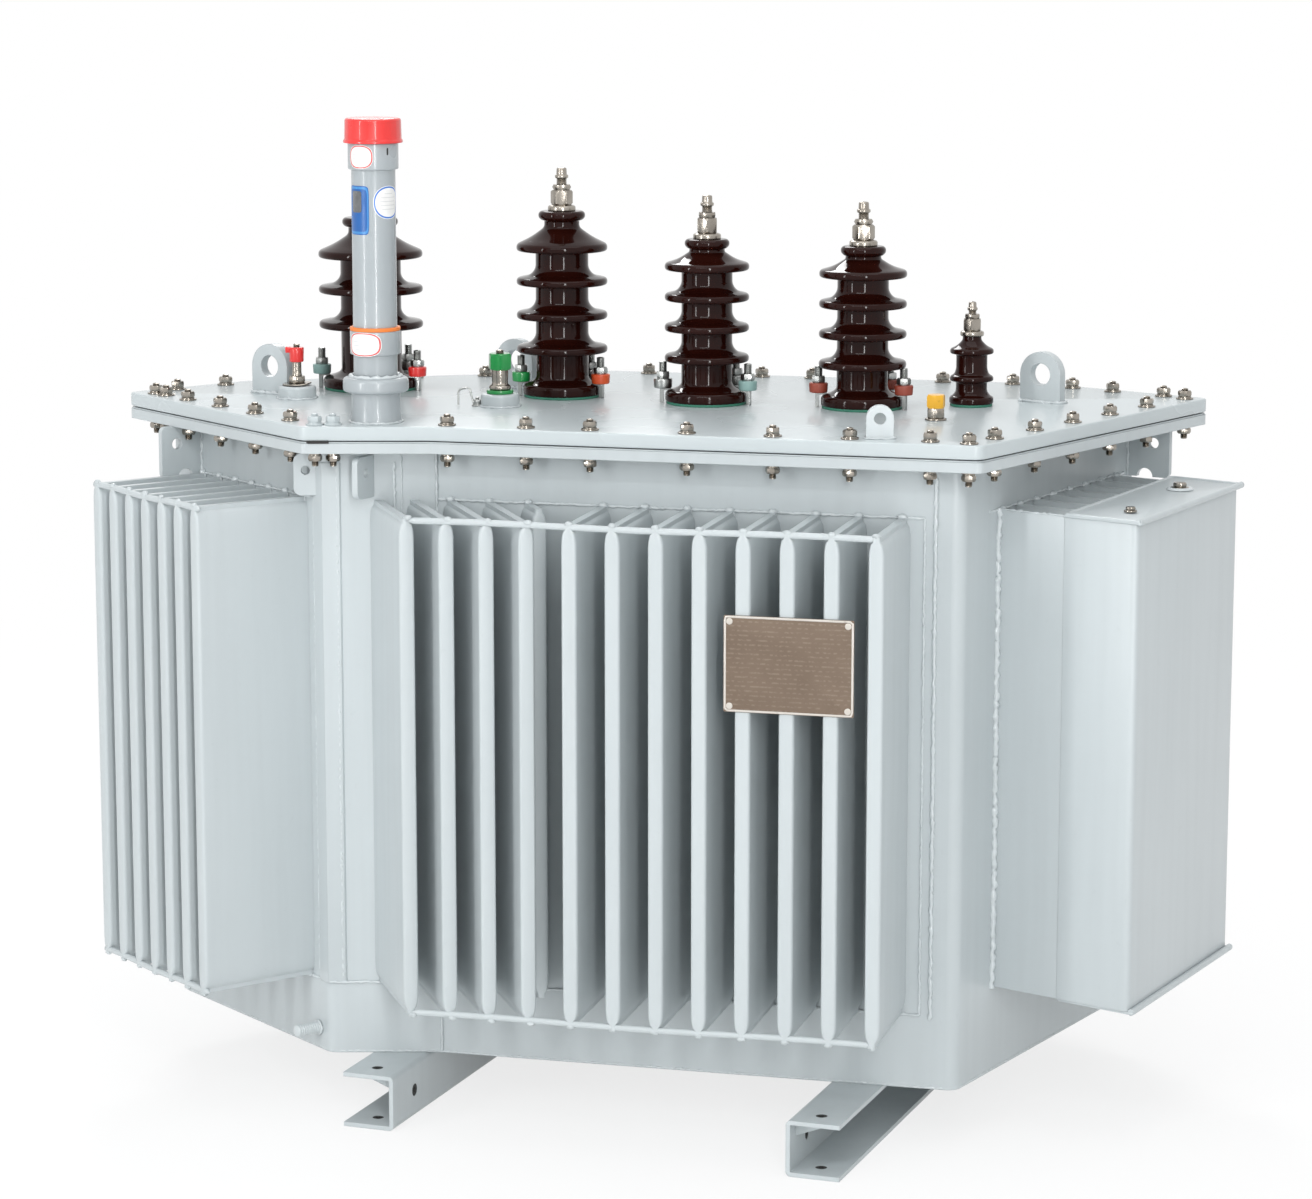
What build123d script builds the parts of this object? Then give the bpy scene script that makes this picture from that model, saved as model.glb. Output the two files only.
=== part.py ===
"""Oil-filled three-phase transformer: a many-sided finned tank with a bolted lid,
five porcelain bushings, an oil-gauge tube and two channel skids. Millimetres, +Z up."""

import os
from math import atan2, cos, degrees, hypot, radians, sin, tan

from build123d import *

# Lid outline, walked from the concave corner of the front edge
front_length = 860
right_length = 714
right_angle = 69.0
tip_length = 322
tip_angle = 155.7
face_length = 197
face_angle = 14.7
left_length = 550
left_angle = 140.8
end_length = 240
end_angle = 56.0
back_left_length = 633
back_left_angle = 28.0
tip_radius = 14
corner_radius = 12

# Heights and plate thicknesses
skid_height = 88
tank_height = 970
wall = 6
floor_thick = 8
flange_thick = 16
flange_width = 74
flange_overhang = 52
gasket_thick = 4
gasket_inset = 5
lid_thick = 22
bend_radius = 22
turn_on_skids = 5.5
right_wall_angle = 74.0

# Skids, folded channels lying front to back
skid_length = 960
skid_width = 85
skid_plate = 7
skid_fold = 8
skid_spacing = 734
skid_bolt_inset = 40
skid_bolt_side = 44
skid_hole = 18
skid_web_hole = 20
skid_web_hole_inset = 84
skid_centre = (329, 348)
skid_rib = 8
skid_rib_inset = 30
fit_gap = 0.3

# Cooling fins
fin_bottom = 118
fin_top_gap = 79
fin_thick = 24
fin_edge = 6
fin_seam = 14
fin_flare = 34
fin_depth = 200
nose_rise = 6
tie_bar = 10
tie_overhang = 14
front_tie_overhang = 4
tie_notch = 8
side_pitch = 52
front_pitch = 67
front_last_fin = 92
front_fins = 8
skew_fins = 5
skew_pitch = 63
skew_angle = 31
skew_root = 60
skew_notch = 16
left_first_fin = 56
left_fins = 7
right_first_fin = 133
right_fins = 8
right_pitch = 60
right_lean = 7
right_raise = 20
back_fins = 9
back_pitch = 67
back_left_fins = 8

# Closed oil box on the outer half of the right-hand fins
box_start = 118
box_depth = 129
box_turn = 10
box_corner = 14
box_cover = 8
box_cover_lip = 7
plug_radius = 10
plug_big_radius = 15
near_plug = (62, -72)
far_plug = (318, -8)

# Lifting lugs
lug_thick = 17
lug_width = 73
lug_height = 82
lug_hole = 18
lug_turn = -19
lug_places = [(-380, 342), (-14, 518), (862, 546)]
front_lug_place = (698, 40)
front_lug_turn = 15
small_lug_width = 42
small_lug_height = 52
small_lug_hole = 9
small_lug_thick = 8
tank_lug_thick = 10
tank_lug_reach = 74
tank_lug_height = 84
tank_lug_hole = 9
tank_lug_arch = 14
tank_lug_left = 380
tank_lug_right = 606
corner_lug_reaches = (34, 46)
corner_lug_height = 66
corner_lug_drop = 8
lug_root = 16
corner_lug_hole = 7
corner_lug_turns = (-36, -28)
corner_lug_places = (20, 75)

# Porcelain bushings and what stands on them
bushing_places = [(-246, 452), (90, 428), (340, 400), (595, 403)]
neutral_place = (759, 473)
shed_radii = [86, 74, 68, 70]
core_radii = [50, 43, 41, 41]
base_radii = [80, 64, 67, 66]
first_sheds = [109, 80, 75, 72]
shed_pitches = [58, 55, 49, 48]
shed_counts = [3, 4, 4, 4]
neck_radii = [37, 29, 29, 29]
collar_radii = [46, 38, 36, 36]
neck_heights = [45, 44, 29, 29]
base_rim = 20
collar_thick = 13
neutral_shed_radius = 35
neutral_core_radius = 24
neutral_base_radius = 35
neutral_rim = 14
neutral_first_shed = 45
neutral_shed_pitch = 44
neutral_sheds = 2
neutral_neck_radius = 15
neutral_neck_height = 24
washer_radius = 21
washer_thick = 11
nut_flats = 30
nut_thick = 22
stud_radius = 8.5
stud_length = 72
clamp_reach = 14
clamp_plate = 7
clamp_width = 22
clamp_gap = 3
clamp_lip = 9
clamp_angles = (-8, 188, 62)

# Oil-gauge tube on its welded neck
tube_place = (-99, 38)
tube_radius = 34
neck_pipe_radius = 35
neck_pipe_height = 48
neck_flange_radius = 54
neck_flange_thick = 23
tube_height = 432
tube_collar_radius = 39
tube_collar_height = 40
tube_collar_drop = 36
tube_collar_foot = 36
cap_radius = 46
cap_height = 38

# Small capped fittings on the lid
red_place = (-321, 294)
green_place = (30, 275)
yellow_place = (738, 280)
boss_radius = 31
boss_height = 21

# Rating plate carried by three fins
plate_width = 198
plate_height = 146
plate_thick = 3
plate_first_fin = 4
plate_shift = 71
plate_top_drop = 124

# Threaded drain stub, low on the left wall
drain_radius = 10
drain_length = 44
drain_drop = 34

tank_base = skid_height
flange_base = tank_base + tank_height
gasket_base = flange_base + flange_thick
lid_base = gasket_base + gasket_thick
lid_top = lid_base + lid_thick
fin_base = tank_base + fin_bottom
fin_top = flange_base - fin_top_gap
fin_height = fin_top - fin_base


def step(point, length, angle):
    """The point that lies a length away from another, at an angle to the front wall."""
    return (point[0] + length * cos(radians(angle)), point[1] + length * sin(radians(angle)))


def lid_corners():
    """Corners of the lid, counter-clockwise from the front left one."""
    notch = (0, 0)
    front_left = step(notch, face_length, face_angle + 180)
    left_tip = step(front_left, left_length, left_angle)
    left_end = step(left_tip, end_length, end_angle)
    back_left = step(left_end, back_left_length, back_left_angle)
    front_right = (front_length, 0)
    right_tip = step(front_right, right_length, right_angle)
    back_right = step(right_tip, tip_length, tip_angle)
    return [front_left, notch, front_right, right_tip, back_right, back_left, left_end, left_tip]


def inset(corners, distance):
    """The same outline with every edge moved inwards by a distance."""
    count = len(corners)
    moved = []
    for i, here in enumerate(corners):
        before = corners[i - 1]
        after = corners[(i + 1) % count]
        first = unit(before, here)
        second = unit(here, after)
        first_normal = (-first[1], first[0])
        second_normal = (-second[1], second[0])
        share = distance / (1 + first_normal[0] * second_normal[0] + first_normal[1] * second_normal[1])
        x = here[0] + share * (first_normal[0] + second_normal[0])
        y = here[1] + share * (first_normal[1] + second_normal[1])
        moved.append((x, y))
    return moved


def meet(point, angle, start, end):
    """Where a line that leaves a point at an angle crosses the line through two others."""
    across, up = cos(radians(angle)), sin(radians(angle))
    along = unit(start, end)
    gap = (start[0] - point[0], start[1] - point[1])
    length = (gap[0] * along[1] - gap[1] * along[0]) / (across * along[1] - up * along[0])
    return (point[0] + length * across, point[1] + length * up)


def unit(start, end):
    """Direction of the straight line from one point to another."""
    length = hypot(end[0] - start[0], end[1] - start[1])
    return ((end[0] - start[0]) / length, (end[1] - start[1]) / length)


def plate(corners, radii, base, height):
    """A flat plate with rounded corners."""
    outline = FilletPolyline(*corners, radius=radii, close=True)
    return Pos(0, 0, base) * extrude(make_face(outline.edges()), height)


def turned(profile):
    """A solid turned from half a profile, listed as radius and height."""
    return ringed(Polyline(*profile, close=True).edges())


def ringed(profile_edges):
    """A solid turned about +Z from the edges of half a profile."""
    return revolve(Plane.XZ * make_face(profile_edges), Axis.Z)


def pin(radius, base, height):
    """An upright round bar."""
    return Pos(0, 0, base + height / 2) * Cylinder(radius, height)


def hexagon(flats, base, height):
    """An upright hexagonal bar, given across its flats."""
    return Pos(0, 0, base) * extrude(RegularPolygon(flats / 2, 6, major_radius=False), height)


corner_radii = [corner_radius] * 8
corner_radii[3] = tip_radius
corner_radii[7] = tip_radius
tank_radii = [bend_radius] * 8
tank_radii[1] = 0
lid_outline = lid_corners()
tank_outline = inset(lid_outline, flange_overhang)
tank_outline[3] = meet(tank_outline[2], right_wall_angle, tank_outline[3], tank_outline[4])
front_left, notch, front_right, right_tip, back_right, back_left, left_end, left_tip = tank_outline


def on_wall(start, end, along, out=0, height=0):
    """A place on a wall: X runs along it, Y points out of the tank."""
    direction = unit(start, end)
    angle = degrees(atan2(direction[1], direction[0]))
    x = start[0] + along * direction[0]
    y = start[1] + along * direction[1]
    return Pos(x, y, height) * Rot(0, 0, angle) * Pos(0, -out, 0)


def fin(depth, root=0, closed=True, notch_length=tie_bar):
    """One pressed fin that stands out of a wall towards -Y, pinched at its top and bottom.

    A closed one has a rounded nose with notches for the tie bars; an open one ends flat.
    """
    half = fin_thick / 2
    edge = fin_edge / 2
    flank = half - 0.4
    top = fin_height
    section = make_face(
        Polyline((edge, fin_seam), (edge, 0), (-edge, 0), (-edge, fin_seam)).edges()
        + ThreePointArc(
            (-edge, fin_seam), (-flank, fin_seam + 0.52 * fin_flare), (-half, fin_seam + fin_flare)
        ).edges()
        + Line((-half, fin_seam + fin_flare), (-half, top - fin_seam - fin_flare)).edges()
        + ThreePointArc(
            (-half, top - fin_seam - fin_flare), (-flank, top - fin_seam - 0.52 * fin_flare), (-edge, top - fin_seam)
        ).edges()
        + Polyline((-edge, top - fin_seam), (-edge, top), (edge, top), (edge, top - fin_seam)).edges()
        + ThreePointArc(
            (edge, top - fin_seam), (flank, top - fin_seam - 0.52 * fin_flare), (half, top - fin_seam - fin_flare)
        ).edges()
        + Line((half, top - fin_seam - fin_flare), (half, fin_seam + fin_flare)).edges()
        + ThreePointArc(
            (half, fin_seam + fin_flare), (flank, fin_seam + 0.52 * fin_flare), (edge, fin_seam)
        ).edges()
    )
    pressed = Pos(0, root, 0) * extrude(Plane.XZ * section, depth + root)
    if not closed:
        return pressed
    for height in (tie_notch / 2, top - tie_notch / 2):
        pressed -= Pos(0, -depth, height) * Box(2 * fin_thick, 2 * notch_length, tie_notch)
    nose = make_face(
        Polyline((-half, nose_rise - depth), (-half, root), (half, root), (half, nose_rise - depth)).edges()
        + ThreePointArc((-half, nose_rise - depth), (0, -depth), (half, nose_rise - depth)).edges()
    )
    return pressed & extrude(nose, top)


def fin_row(start, end, first, pitch, count, depth):
    """Fins along a wall, each welded on at its root."""
    blade = fin(depth)
    row = []
    for i in range(count):
        place = on_wall(start, end, first + i * pitch, height=fin_base)
        row.append(place * blade)
    return row


def tie_bars(start, end, first, last, out, overhang=tie_overhang):
    """The round bars that tie the fins' noses together, top and bottom."""
    length = last - first + 2 * overhang
    middle = (first + last) / 2
    bars = []
    seat = tie_notch - tie_bar / 2
    for height in (fin_base + seat, fin_top - seat):
        place = on_wall(start, end, middle, out, height)
        bars.append(place * Rot(0, 90, 0) * Cylinder(tie_bar / 2, length))
    return bars


def tank():
    """The tank's wall, its floor and the flange that the lid is bolted to."""
    inner_radii = [max(radius - wall, 0) for radius in tank_radii]
    inner_outline = inset(tank_outline, wall)
    shell = plate(tank_outline, tank_radii, tank_base, tank_height)
    shell -= plate(inner_outline, inner_radii, tank_base, tank_height)
    save("tank_wall", shell)
    save("tank_floor", plate(inner_outline, inner_radii, tank_base, floor_thick))
    flange = plate(lid_outline, corner_radii, flange_base, flange_thick)
    flange -= plate(inset(lid_outline, flange_width), 5, flange_base, flange_thick)
    save("tank_flange", flange)
    gasket = plate(inset(lid_outline, gasket_inset), 20, gasket_base, gasket_thick)
    gasket -= plate(inset(lid_outline, flange_width), 5, gasket_base, gasket_thick)
    save("lid_gasket", gasket)
    save("lid", plate(lid_outline, corner_radii, lid_base, lid_thick))


def radiators():
    """The rows of fins on five walls, with their tie bars."""
    side_reach = fin_depth - tie_bar / 2
    left_wall_length = hypot(front_left[0] - left_tip[0], front_left[1] - left_tip[1])
    left_first = left_wall_length - left_first_fin - (left_fins - 1) * side_pitch
    save("left_radiator", fin_row(left_tip, front_left, left_first, side_pitch, left_fins, fin_depth))
    last = left_first + (left_fins - 1) * side_pitch
    save("left_tie_bars", tie_bars(left_tip, front_left, left_first, last, side_reach))

    front_wall = front_right[0] - notch[0]
    first = front_wall - front_last_fin - (front_fins - 1) * front_pitch
    last = front_wall - front_last_fin
    save("front_radiator", fin_row(notch, front_right, first, front_pitch, front_fins, fin_depth))
    lean = fin_depth * sin(radians(skew_angle)) / cos(radians(skew_angle))
    skew_depth = fin_depth / cos(radians(skew_angle)) - fin_thick / 4
    short_depth = (lean - fin_thick - fit_gap) / sin(radians(skew_angle))
    core = plate(tank_outline, tank_radii, tank_base, tank_height)
    row = []
    for i in range(skew_fins):
        root = first - lean - i * skew_pitch
        blade = fin(short_depth if i == 0 else skew_depth, skew_root, notch_length=skew_notch)
        place = on_wall(notch, front_right, root, height=fin_base)
        row.append(place * Rot(0, 0, skew_angle) * blade - core)
    save("front_skew_radiator", row)
    bar_first = first - (skew_fins - 1) * skew_pitch
    bars = tie_bars(notch, front_right, bar_first, last, side_reach, front_tie_overhang)
    save("front_tie_bars", bars)

    back_wall = hypot(back_left[0] - back_right[0], back_left[1] - back_right[1])
    first = (back_wall - (back_fins - 1) * back_pitch) / 2
    last = first + (back_fins - 1) * back_pitch
    save("back_radiator", fin_row(back_right, back_left, first, back_pitch, back_fins, fin_depth))
    save("back_tie_bars", tie_bars(back_right, back_left, first, last, side_reach))

    back_left_wall = hypot(back_left[0] - left_end[0], back_left[1] - left_end[1])
    first = (back_left_wall - (back_left_fins - 1) * side_pitch) / 2
    last = first + (back_left_fins - 1) * side_pitch
    row = fin_row(back_left, left_end, first, side_pitch, back_left_fins, fin_depth)
    save("back_left_radiator", row)
    save("back_left_tie_bars", tie_bars(back_left, left_end, first, last, side_reach))


def right_radiator():
    """Leaning fins on the right wall that open into a closed oil box with covers."""
    row_frame = on_wall(front_right, right_tip, right_first_fin, height=fin_base) * Rot(0, 0, -right_lean)
    step_across = right_pitch * cos(radians(right_lean))
    step_back = right_pitch * sin(radians(right_lean))
    half = fin_thick / 2
    width = (right_fins - 1) * step_across
    rise = tan(radians(box_turn))
    near_inner = -box_start - half * rise
    far_inner = -box_start + (width + half) * rise
    corners = [(-half, near_inner - box_depth), (width + half, far_inner - box_depth),
               (width + half, far_inner), (-half, near_inner)]
    height = fin_height - right_raise
    radii = [box_corner, box_corner, 0, 0]
    box = plate(corners, radii, right_raise, height)
    save("right_oil_box", row_frame * box)

    core = plate(tank_outline, tank_radii, tank_base, tank_height)
    wide = [(-fin_thick, corners[0][1]), (width + fin_thick, corners[1][1] + half * rise),
            (width + fin_thick, far_inner + half * rise), (-fin_thick, near_inner - half * rise)]
    trimmed = row_frame * plate(wide, 0, 0, fin_height)
    blade = fin(box_start + 2 * half, skew_root, closed=False) - Box(fin_thick * 2, fin_depth * 4, 2 * right_raise)
    row = []
    for i in range(right_fins):
        row.append(row_frame * Pos(i * step_across, i * step_back, 0) * blade - core - trimmed)
    save("right_radiator", row)

    lip = box_cover_lip
    edges = [(-half - lip, near_inner - box_depth - lip), (width + half + lip, far_inner - box_depth - lip),
             (width + half + lip, far_inner), (-half - lip, near_inner)]
    top = row_frame * plate(edges, [4, 4, 0, 0], fin_height, box_cover)
    bottom = row_frame * plate(edges, [4, 4, 0, 0], right_raise - box_cover, box_cover)
    save("right_box_covers", [top, bottom])
    base = fin_height + box_cover
    near = row_frame * Pos(near_plug[0], near_inner + near_plug[1], 0) * pin(plug_radius, base, 7)
    far = row_frame * Pos(far_plug[0], near_inner + far_plug[1], 0) * pin(plug_big_radius, base, 9)
    save("right_box_plugs", [near, far])


def eye_plate(width, height, thick, hole):
    """A round-topped plate standing on the XY plane, drilled for a shackle."""
    half = width / 2
    face = Pos(0, (height - half) / 2) * Rectangle(width, height - half)
    face += Pos(0, height - half) * Circle(half)
    face -= Pos(0, height - half) * Circle(hole)
    return extrude(Plane.XZ * face, thick / 2, both=True)


def lid_lugs():
    """Three lifting lugs and a small drilled one, welded to the lid."""
    tall = eye_plate(lug_width, lug_height, lug_thick, lug_hole)
    small = eye_plate(small_lug_width, small_lug_height, small_lug_thick, small_lug_hole)
    lugs = []
    for place in lug_places:
        lugs.append(Pos(*place, lid_top) * Rot(0, 0, lug_turn) * tall)
    lugs.append(Pos(*front_lug_place, lid_top) * Rot(0, 0, front_lug_turn) * small)
    save("lid_lugs", lugs)


def tank_lug():
    """A plate that stands out of the tank under the flange, with a hole and an arched foot."""
    reach = tank_lug_reach
    height = tank_lug_height
    face = Pos(-reach / 2, -height / 2) * RectangleRounded(reach, height, 9)
    face += Pos(-reach / 4, -height / 2) * Rectangle(reach / 2, height)
    face -= Pos(-reach * 0.62, -height * 0.34) * Circle(tank_lug_hole)
    face -= Pos(-reach * 0.42, -height) * Circle(tank_lug_arch)
    return extrude(Plane.XZ * face, tank_lug_thick / 2, both=True)


def corner_lug(reach):
    """A small drilled plate at the front left corner, under the flange."""
    height = corner_lug_height
    face = Pos(-reach / 2, -height / 2) * RectangleRounded(reach, height, 12)
    face += Pos(-reach / 4 + lug_root / 2, -height / 2) * Rectangle(reach / 2 + lug_root, height)
    face -= Pos(-reach * 0.45, -height * 0.4) * Circle(corner_lug_hole)
    return extrude(Plane.XZ * face, tank_lug_thick / 2, both=True)


def tank_lugs():
    """Lugs welded to the tank wall just below the flange."""
    big = Pos(0, 0, flange_base) * tank_lug()
    drop = Pos(0, 0, flange_base - corner_lug_drop)
    core = plate(tank_outline, tank_radii, tank_base, tank_height)
    left_wall_length = hypot(front_left[0] - left_tip[0], front_left[1] - left_tip[1])
    left = on_wall(left_tip, front_left, left_wall_length - tank_lug_left)
    right = on_wall(front_right, right_tip, tank_lug_right)
    save("tank_lugs", [left * Rot(0, 0, 90) * big, right * Rot(0, 0, 90) * big])
    near = on_wall(left_tip, front_left, left_wall_length - corner_lug_places[0])
    face_side = on_wall(front_left, notch, corner_lug_places[1])
    first = near * Rot(0, 0, 90 + corner_lug_turns[0]) * drop * corner_lug(corner_lug_reaches[0]) - core
    second = face_side * Rot(0, 0, 90 + corner_lug_turns[1]) * drop * corner_lug(corner_lug_reaches[1]) - core
    save("corner_lugs", [first, second])


def porcelain(radius, core, base, rim, first, pitch, count, neck, collar, neck_height):
    """An insulator turned from its half-profile, and the height of its top."""
    slope = 21
    lip = 6
    low = gasket_thick
    profile = [(0, low), (base, low), (base, rim), (core + (base - core) / 2, rim), (core, rim + 16)]
    for i in range(count):
        z = first + i * pitch
        upper = core if i < count - 1 else neck
        profile += [(core, z - lip - 2), (radius, z - lip / 2), (radius - 1, z + lip / 2), (upper, z + slope)]
    top = first + (count - 1) * pitch + neck_height
    profile.append((neck, top))
    if collar > neck:
        profile += [(collar, top + 3), (collar, top + collar_thick - 3), (collar - 3, top + collar_thick)]
        top += collar_thick
    profile.append((0, top))
    return turned(profile), top


def terminal(base):
    """The stud with its washer and nut."""
    post = pin(washer_radius, base, washer_thick)
    post += hexagon(nut_flats, base + washer_thick, nut_thick)
    return post + pin(stud_radius, base, stud_length)


def clamp(base_top, foot):
    """A folded finger that holds the insulator's foot down on the lid."""
    inner = foot - clamp_lip
    heel = foot + clamp_reach + clamp_width / 2
    bend = foot + clamp_gap
    top = base_top + clamp_plate
    outline = Polyline((inner, base_top), (inner, top), (heel, top), (heel, 0), (heel - clamp_plate, 0),
                       (heel - clamp_plate, base_top), (bend, base_top), close=True)
    return extrude(Plane.XZ * make_face(outline.edges()), clamp_width / 2, both=True)


def bushings():
    """Four tall insulators and one short one, each with its terminal."""
    short, short_top = porcelain(neutral_shed_radius, neutral_core_radius, neutral_base_radius, neutral_rim,
                                 neutral_first_shed, neutral_shed_pitch, neutral_sheds, neutral_neck_radius,
                                 neutral_neck_radius, neutral_neck_height)
    insulators = []
    posts = []
    clamps = []
    rings = []
    for i, (x, y) in enumerate(bushing_places):
        here = Pos(x, y, lid_top)
        foot = base_radii[i]
        tall, top = porcelain(shed_radii[i], core_radii[i], foot, base_rim, first_sheds[i], shed_pitches[i],
                              shed_counts[i], neck_radii[i], collar_radii[i], neck_heights[i])
        insulators.append(here * tall)
        posts.append(here * terminal(top))
        rings.append(here * pin(foot - gasket_inset, 0, gasket_thick))
        for angle in clamp_angles:
            clamps.append(here * Rot(0, 0, angle) * clamp(base_rim, foot))
    here = Pos(*neutral_place, lid_top)
    insulators.append(here * short)
    posts.append(here * terminal(short_top))
    rings.append(here * pin(neutral_base_radius - gasket_inset, 0, gasket_thick))
    save("bushings", insulators)
    save("bushing_terminals", posts)
    save("bushing_clamps", clamps)
    save("bushing_gaskets", rings)


def gauge_tube():
    """A welded neck, the tube that stands on it and its cap."""
    here = Pos(*tube_place, lid_top)
    base = neck_pipe_height + neck_flange_thick
    top = tube_height
    neck = pin(neck_pipe_radius, 0, neck_pipe_height)
    neck += pin(neck_flange_radius, neck_pipe_height, neck_flange_thick)
    tube = turned([(0, base), (tube_radius, base), (tube_radius, top - tube_collar_height),
                   (tube_collar_radius, top - tube_collar_height), (tube_collar_radius, top), (0, top)])
    collar = Pos(0, 0, base + tube_collar_drop) * tube_collar()
    cap = turned([(0, top), (cap_radius, top), (cap_radius - 4, top + cap_height), (0, top + cap_height)])
    save("gauge_tube", [here * neck, here * (tube + collar)])
    save("gauge_cap", here * cap)


def tube_collar():
    """The ring that grips the tube's foot."""
    return turned([(0, 0), (tube_collar_radius, 0), (tube_collar_radius, tube_collar_foot), (0, tube_collar_foot)])


def fittings():
    """Small capped fittings: two on welded bosses, one straight on the lid."""
    red = Pos(*red_place, lid_top)
    green = Pos(*green_place, lid_top)
    yellow = Pos(*yellow_place, lid_top)
    boss = turned([(0, 0), (boss_radius, 0), (boss_radius, boss_height - 4), (boss_radius - 4, boss_height),
                   (0, boss_height)])
    save("lid_bosses", [red * boss, green * boss])
    top = boss_height
    red_stem = pin(22, top, 5) + pin(6.5, top + 5, 36)
    green_stem = pin(22, top, 7) + pin(17, top + 7, 9) + pin(13, top + 16, 24)
    yellow_stem = pin(17, 0, 4) + hexagon(25, 4, 16)
    save("lid_fittings", [red * red_stem, green * green_stem, yellow * yellow_stem])
    caps = [
        red * (pin(11.5, top + 41, 22) + pin(5, top + 41, 27)),
        green * (hexagon(32, top + 40, 24) + pin(7, top + 40, 30)),
        yellow * pin(15, 20, 22),
    ]
    save("fitting_caps", caps)


def rating_plate():
    """The plate on the noses of three front fins."""
    front_wall = front_right[0] - notch[0]
    first = front_wall - front_last_fin - (front_fins - 1) * front_pitch
    middle = first + plate_first_fin * front_pitch + plate_shift
    out = fin_depth + fit_gap + plate_thick / 2
    place = on_wall(notch, front_right, middle, out, fin_top - plate_top_drop - plate_height / 2)
    save("rating_plate", place * Box(plate_width, plate_thick, plate_height))


def drain():
    """A threaded stub low on the left wall."""
    left_wall_length = hypot(front_left[0] - left_tip[0], front_left[1] - left_tip[1])
    place = on_wall(left_tip, front_left, left_wall_length - 34, 0, tank_base + drain_drop)
    save("drain_stub", place * Pos(0, -drain_length / 2, 0) * Rot(90, 0, 0) * Cylinder(drain_radius, drain_length))


def skid(side):
    """A folded channel with its web towards the middle, drilled for bolts."""
    height = skid_height
    half = skid_length / 2
    web = skid_bolt_side
    tip = web - skid_width
    outline = FilletPolyline(
        (tip, 0), (web, 0), (web, height), (tip, height), (tip, height - skid_plate),
        (web - skid_plate, height - skid_plate), (web - skid_plate, skid_plate), (tip, skid_plate),
        radius=[0, skid_fold, skid_fold, 0, 0, 1, 1, 0], close=True,
    )
    channel = extrude(Plane.XZ * make_face(outline.edges()), half, both=True)
    for end in (-1, 1):
        y = end * (half - skid_bolt_inset)
        channel -= Pos(0, y, 0) * pin(skid_hole / 2, -1, skid_plate + 2)
        channel -= Pos(0, y, 0) * pin(skid_hole / 2, height - skid_plate - 1, skid_plate + 2)
        y = end * (half - skid_web_hole_inset)
        channel -= Pos(web, y, height / 2) * Rot(0, 90, 0) * Cylinder(skid_web_hole / 2, 3 * skid_plate)
        y = end * (half - skid_rib_inset)
        rib = Polyline((web - skid_plate, height - skid_plate), (tip + 16, height - skid_plate),
                       (web - skid_plate, height - skid_plate - 24), close=True)
        channel += Pos(0, y, 0) * extrude(Plane.XZ * make_face(rib.edges()), skid_rib / 2, both=True)
    if side > 0:
        channel = mirror(channel, Plane.YZ)
    return Pos(side * skid_spacing / 2, 0, 0) * channel


def skids():
    """The two channels that the tank is welded to."""
    export_step(skid(-1), "parts/skid_left.step")
    export_step(skid(1), "parts/skid_right.step")


def save(name, shape):
    """Turn a piece with the tank onto the skids and write it."""
    x, y = skid_centre
    place = Rot(0, 0, turn_on_skids) * Pos(-x, -y, 0)
    if isinstance(shape, list):
        moved = Compound(children=[place * piece for piece in shape])
    else:
        moved = place * shape
    export_step(moved, f"parts/{name}.step")


os.makedirs("parts", exist_ok=True)
tank()
radiators()
right_radiator()
lid_lugs()
tank_lugs()
bushings()
gauge_tube()
fittings()
rating_plate()
drain()
skids()
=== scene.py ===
import math
import bmesh
import bpy
import numpy as np
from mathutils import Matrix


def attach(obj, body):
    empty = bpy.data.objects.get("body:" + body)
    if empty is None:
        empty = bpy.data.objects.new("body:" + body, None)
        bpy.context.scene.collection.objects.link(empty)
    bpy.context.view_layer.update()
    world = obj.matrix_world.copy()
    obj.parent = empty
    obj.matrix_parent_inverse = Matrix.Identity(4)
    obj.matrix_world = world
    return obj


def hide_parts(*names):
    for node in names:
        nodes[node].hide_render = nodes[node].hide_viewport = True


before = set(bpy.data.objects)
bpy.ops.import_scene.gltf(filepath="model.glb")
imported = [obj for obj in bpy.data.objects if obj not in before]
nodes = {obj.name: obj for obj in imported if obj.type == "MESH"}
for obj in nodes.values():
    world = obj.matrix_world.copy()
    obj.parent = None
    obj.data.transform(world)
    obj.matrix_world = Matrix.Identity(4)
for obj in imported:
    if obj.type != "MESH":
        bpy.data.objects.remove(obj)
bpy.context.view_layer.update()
print("frame loaded with", len(nodes), "nodes")

# the tank is drawn in millimetres from the lid's concave front corner, then turned onto its skids
unit = {
    "turn": math.radians(5.5), "skidCentre": (329.0, 348.0), "wallFoot": 88.0, "flangeBase": 1058.0,
    "flangeTop": 1074.0, "lidBase": 1078.0, "lidTop": 1100.0, "finBase": 206.0, "finTop": 979.0,
}
lidTop, finBase, finTop = unit["lidTop"], unit["finBase"], unit["finTop"]
# each edge of the lid as its length and its direction in degrees
outlineValues = {
    "face": (197, 194.7), "front": (860, 0), "right": (714, 69.0), "tip": (322, 155.7), "left": (550, 140.8),
    "end": (240, 56.0), "backLeft": (633, 28.0), "overhang": 52, "rightWall": 74.0,
}
edgeNames = ("face", "front", "right", "tip", "back", "backLeft", "end", "left")


# Shapes: each is an array of points and an array of quads

def toFrame(points):
    # shift to the skids' centre, turn about Z, millimetres to metres
    x = points[:, 0] - unit["skidCentre"][0]
    y = points[:, 1] - unit["skidCentre"][1]
    c, s = math.cos(unit["turn"]), math.sin(unit["turn"])
    return np.column_stack((x * c - y * s, x * s + y * c, points[:, 2])) / 1000


def gridShape(points):
    # a quad between each pair of neighbouring rows and columns, the columns closed into a ring
    rows, cols = points.shape[:2]
    index = np.arange(rows * cols).reshape(rows, cols)
    right = np.roll(index, -1, 1)
    quads = np.stack((index[:-1], right[:-1], right[1:], index[1:]), -1).reshape(-1, 4)
    return points.reshape(-1, 3).astype(float), quads


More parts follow.
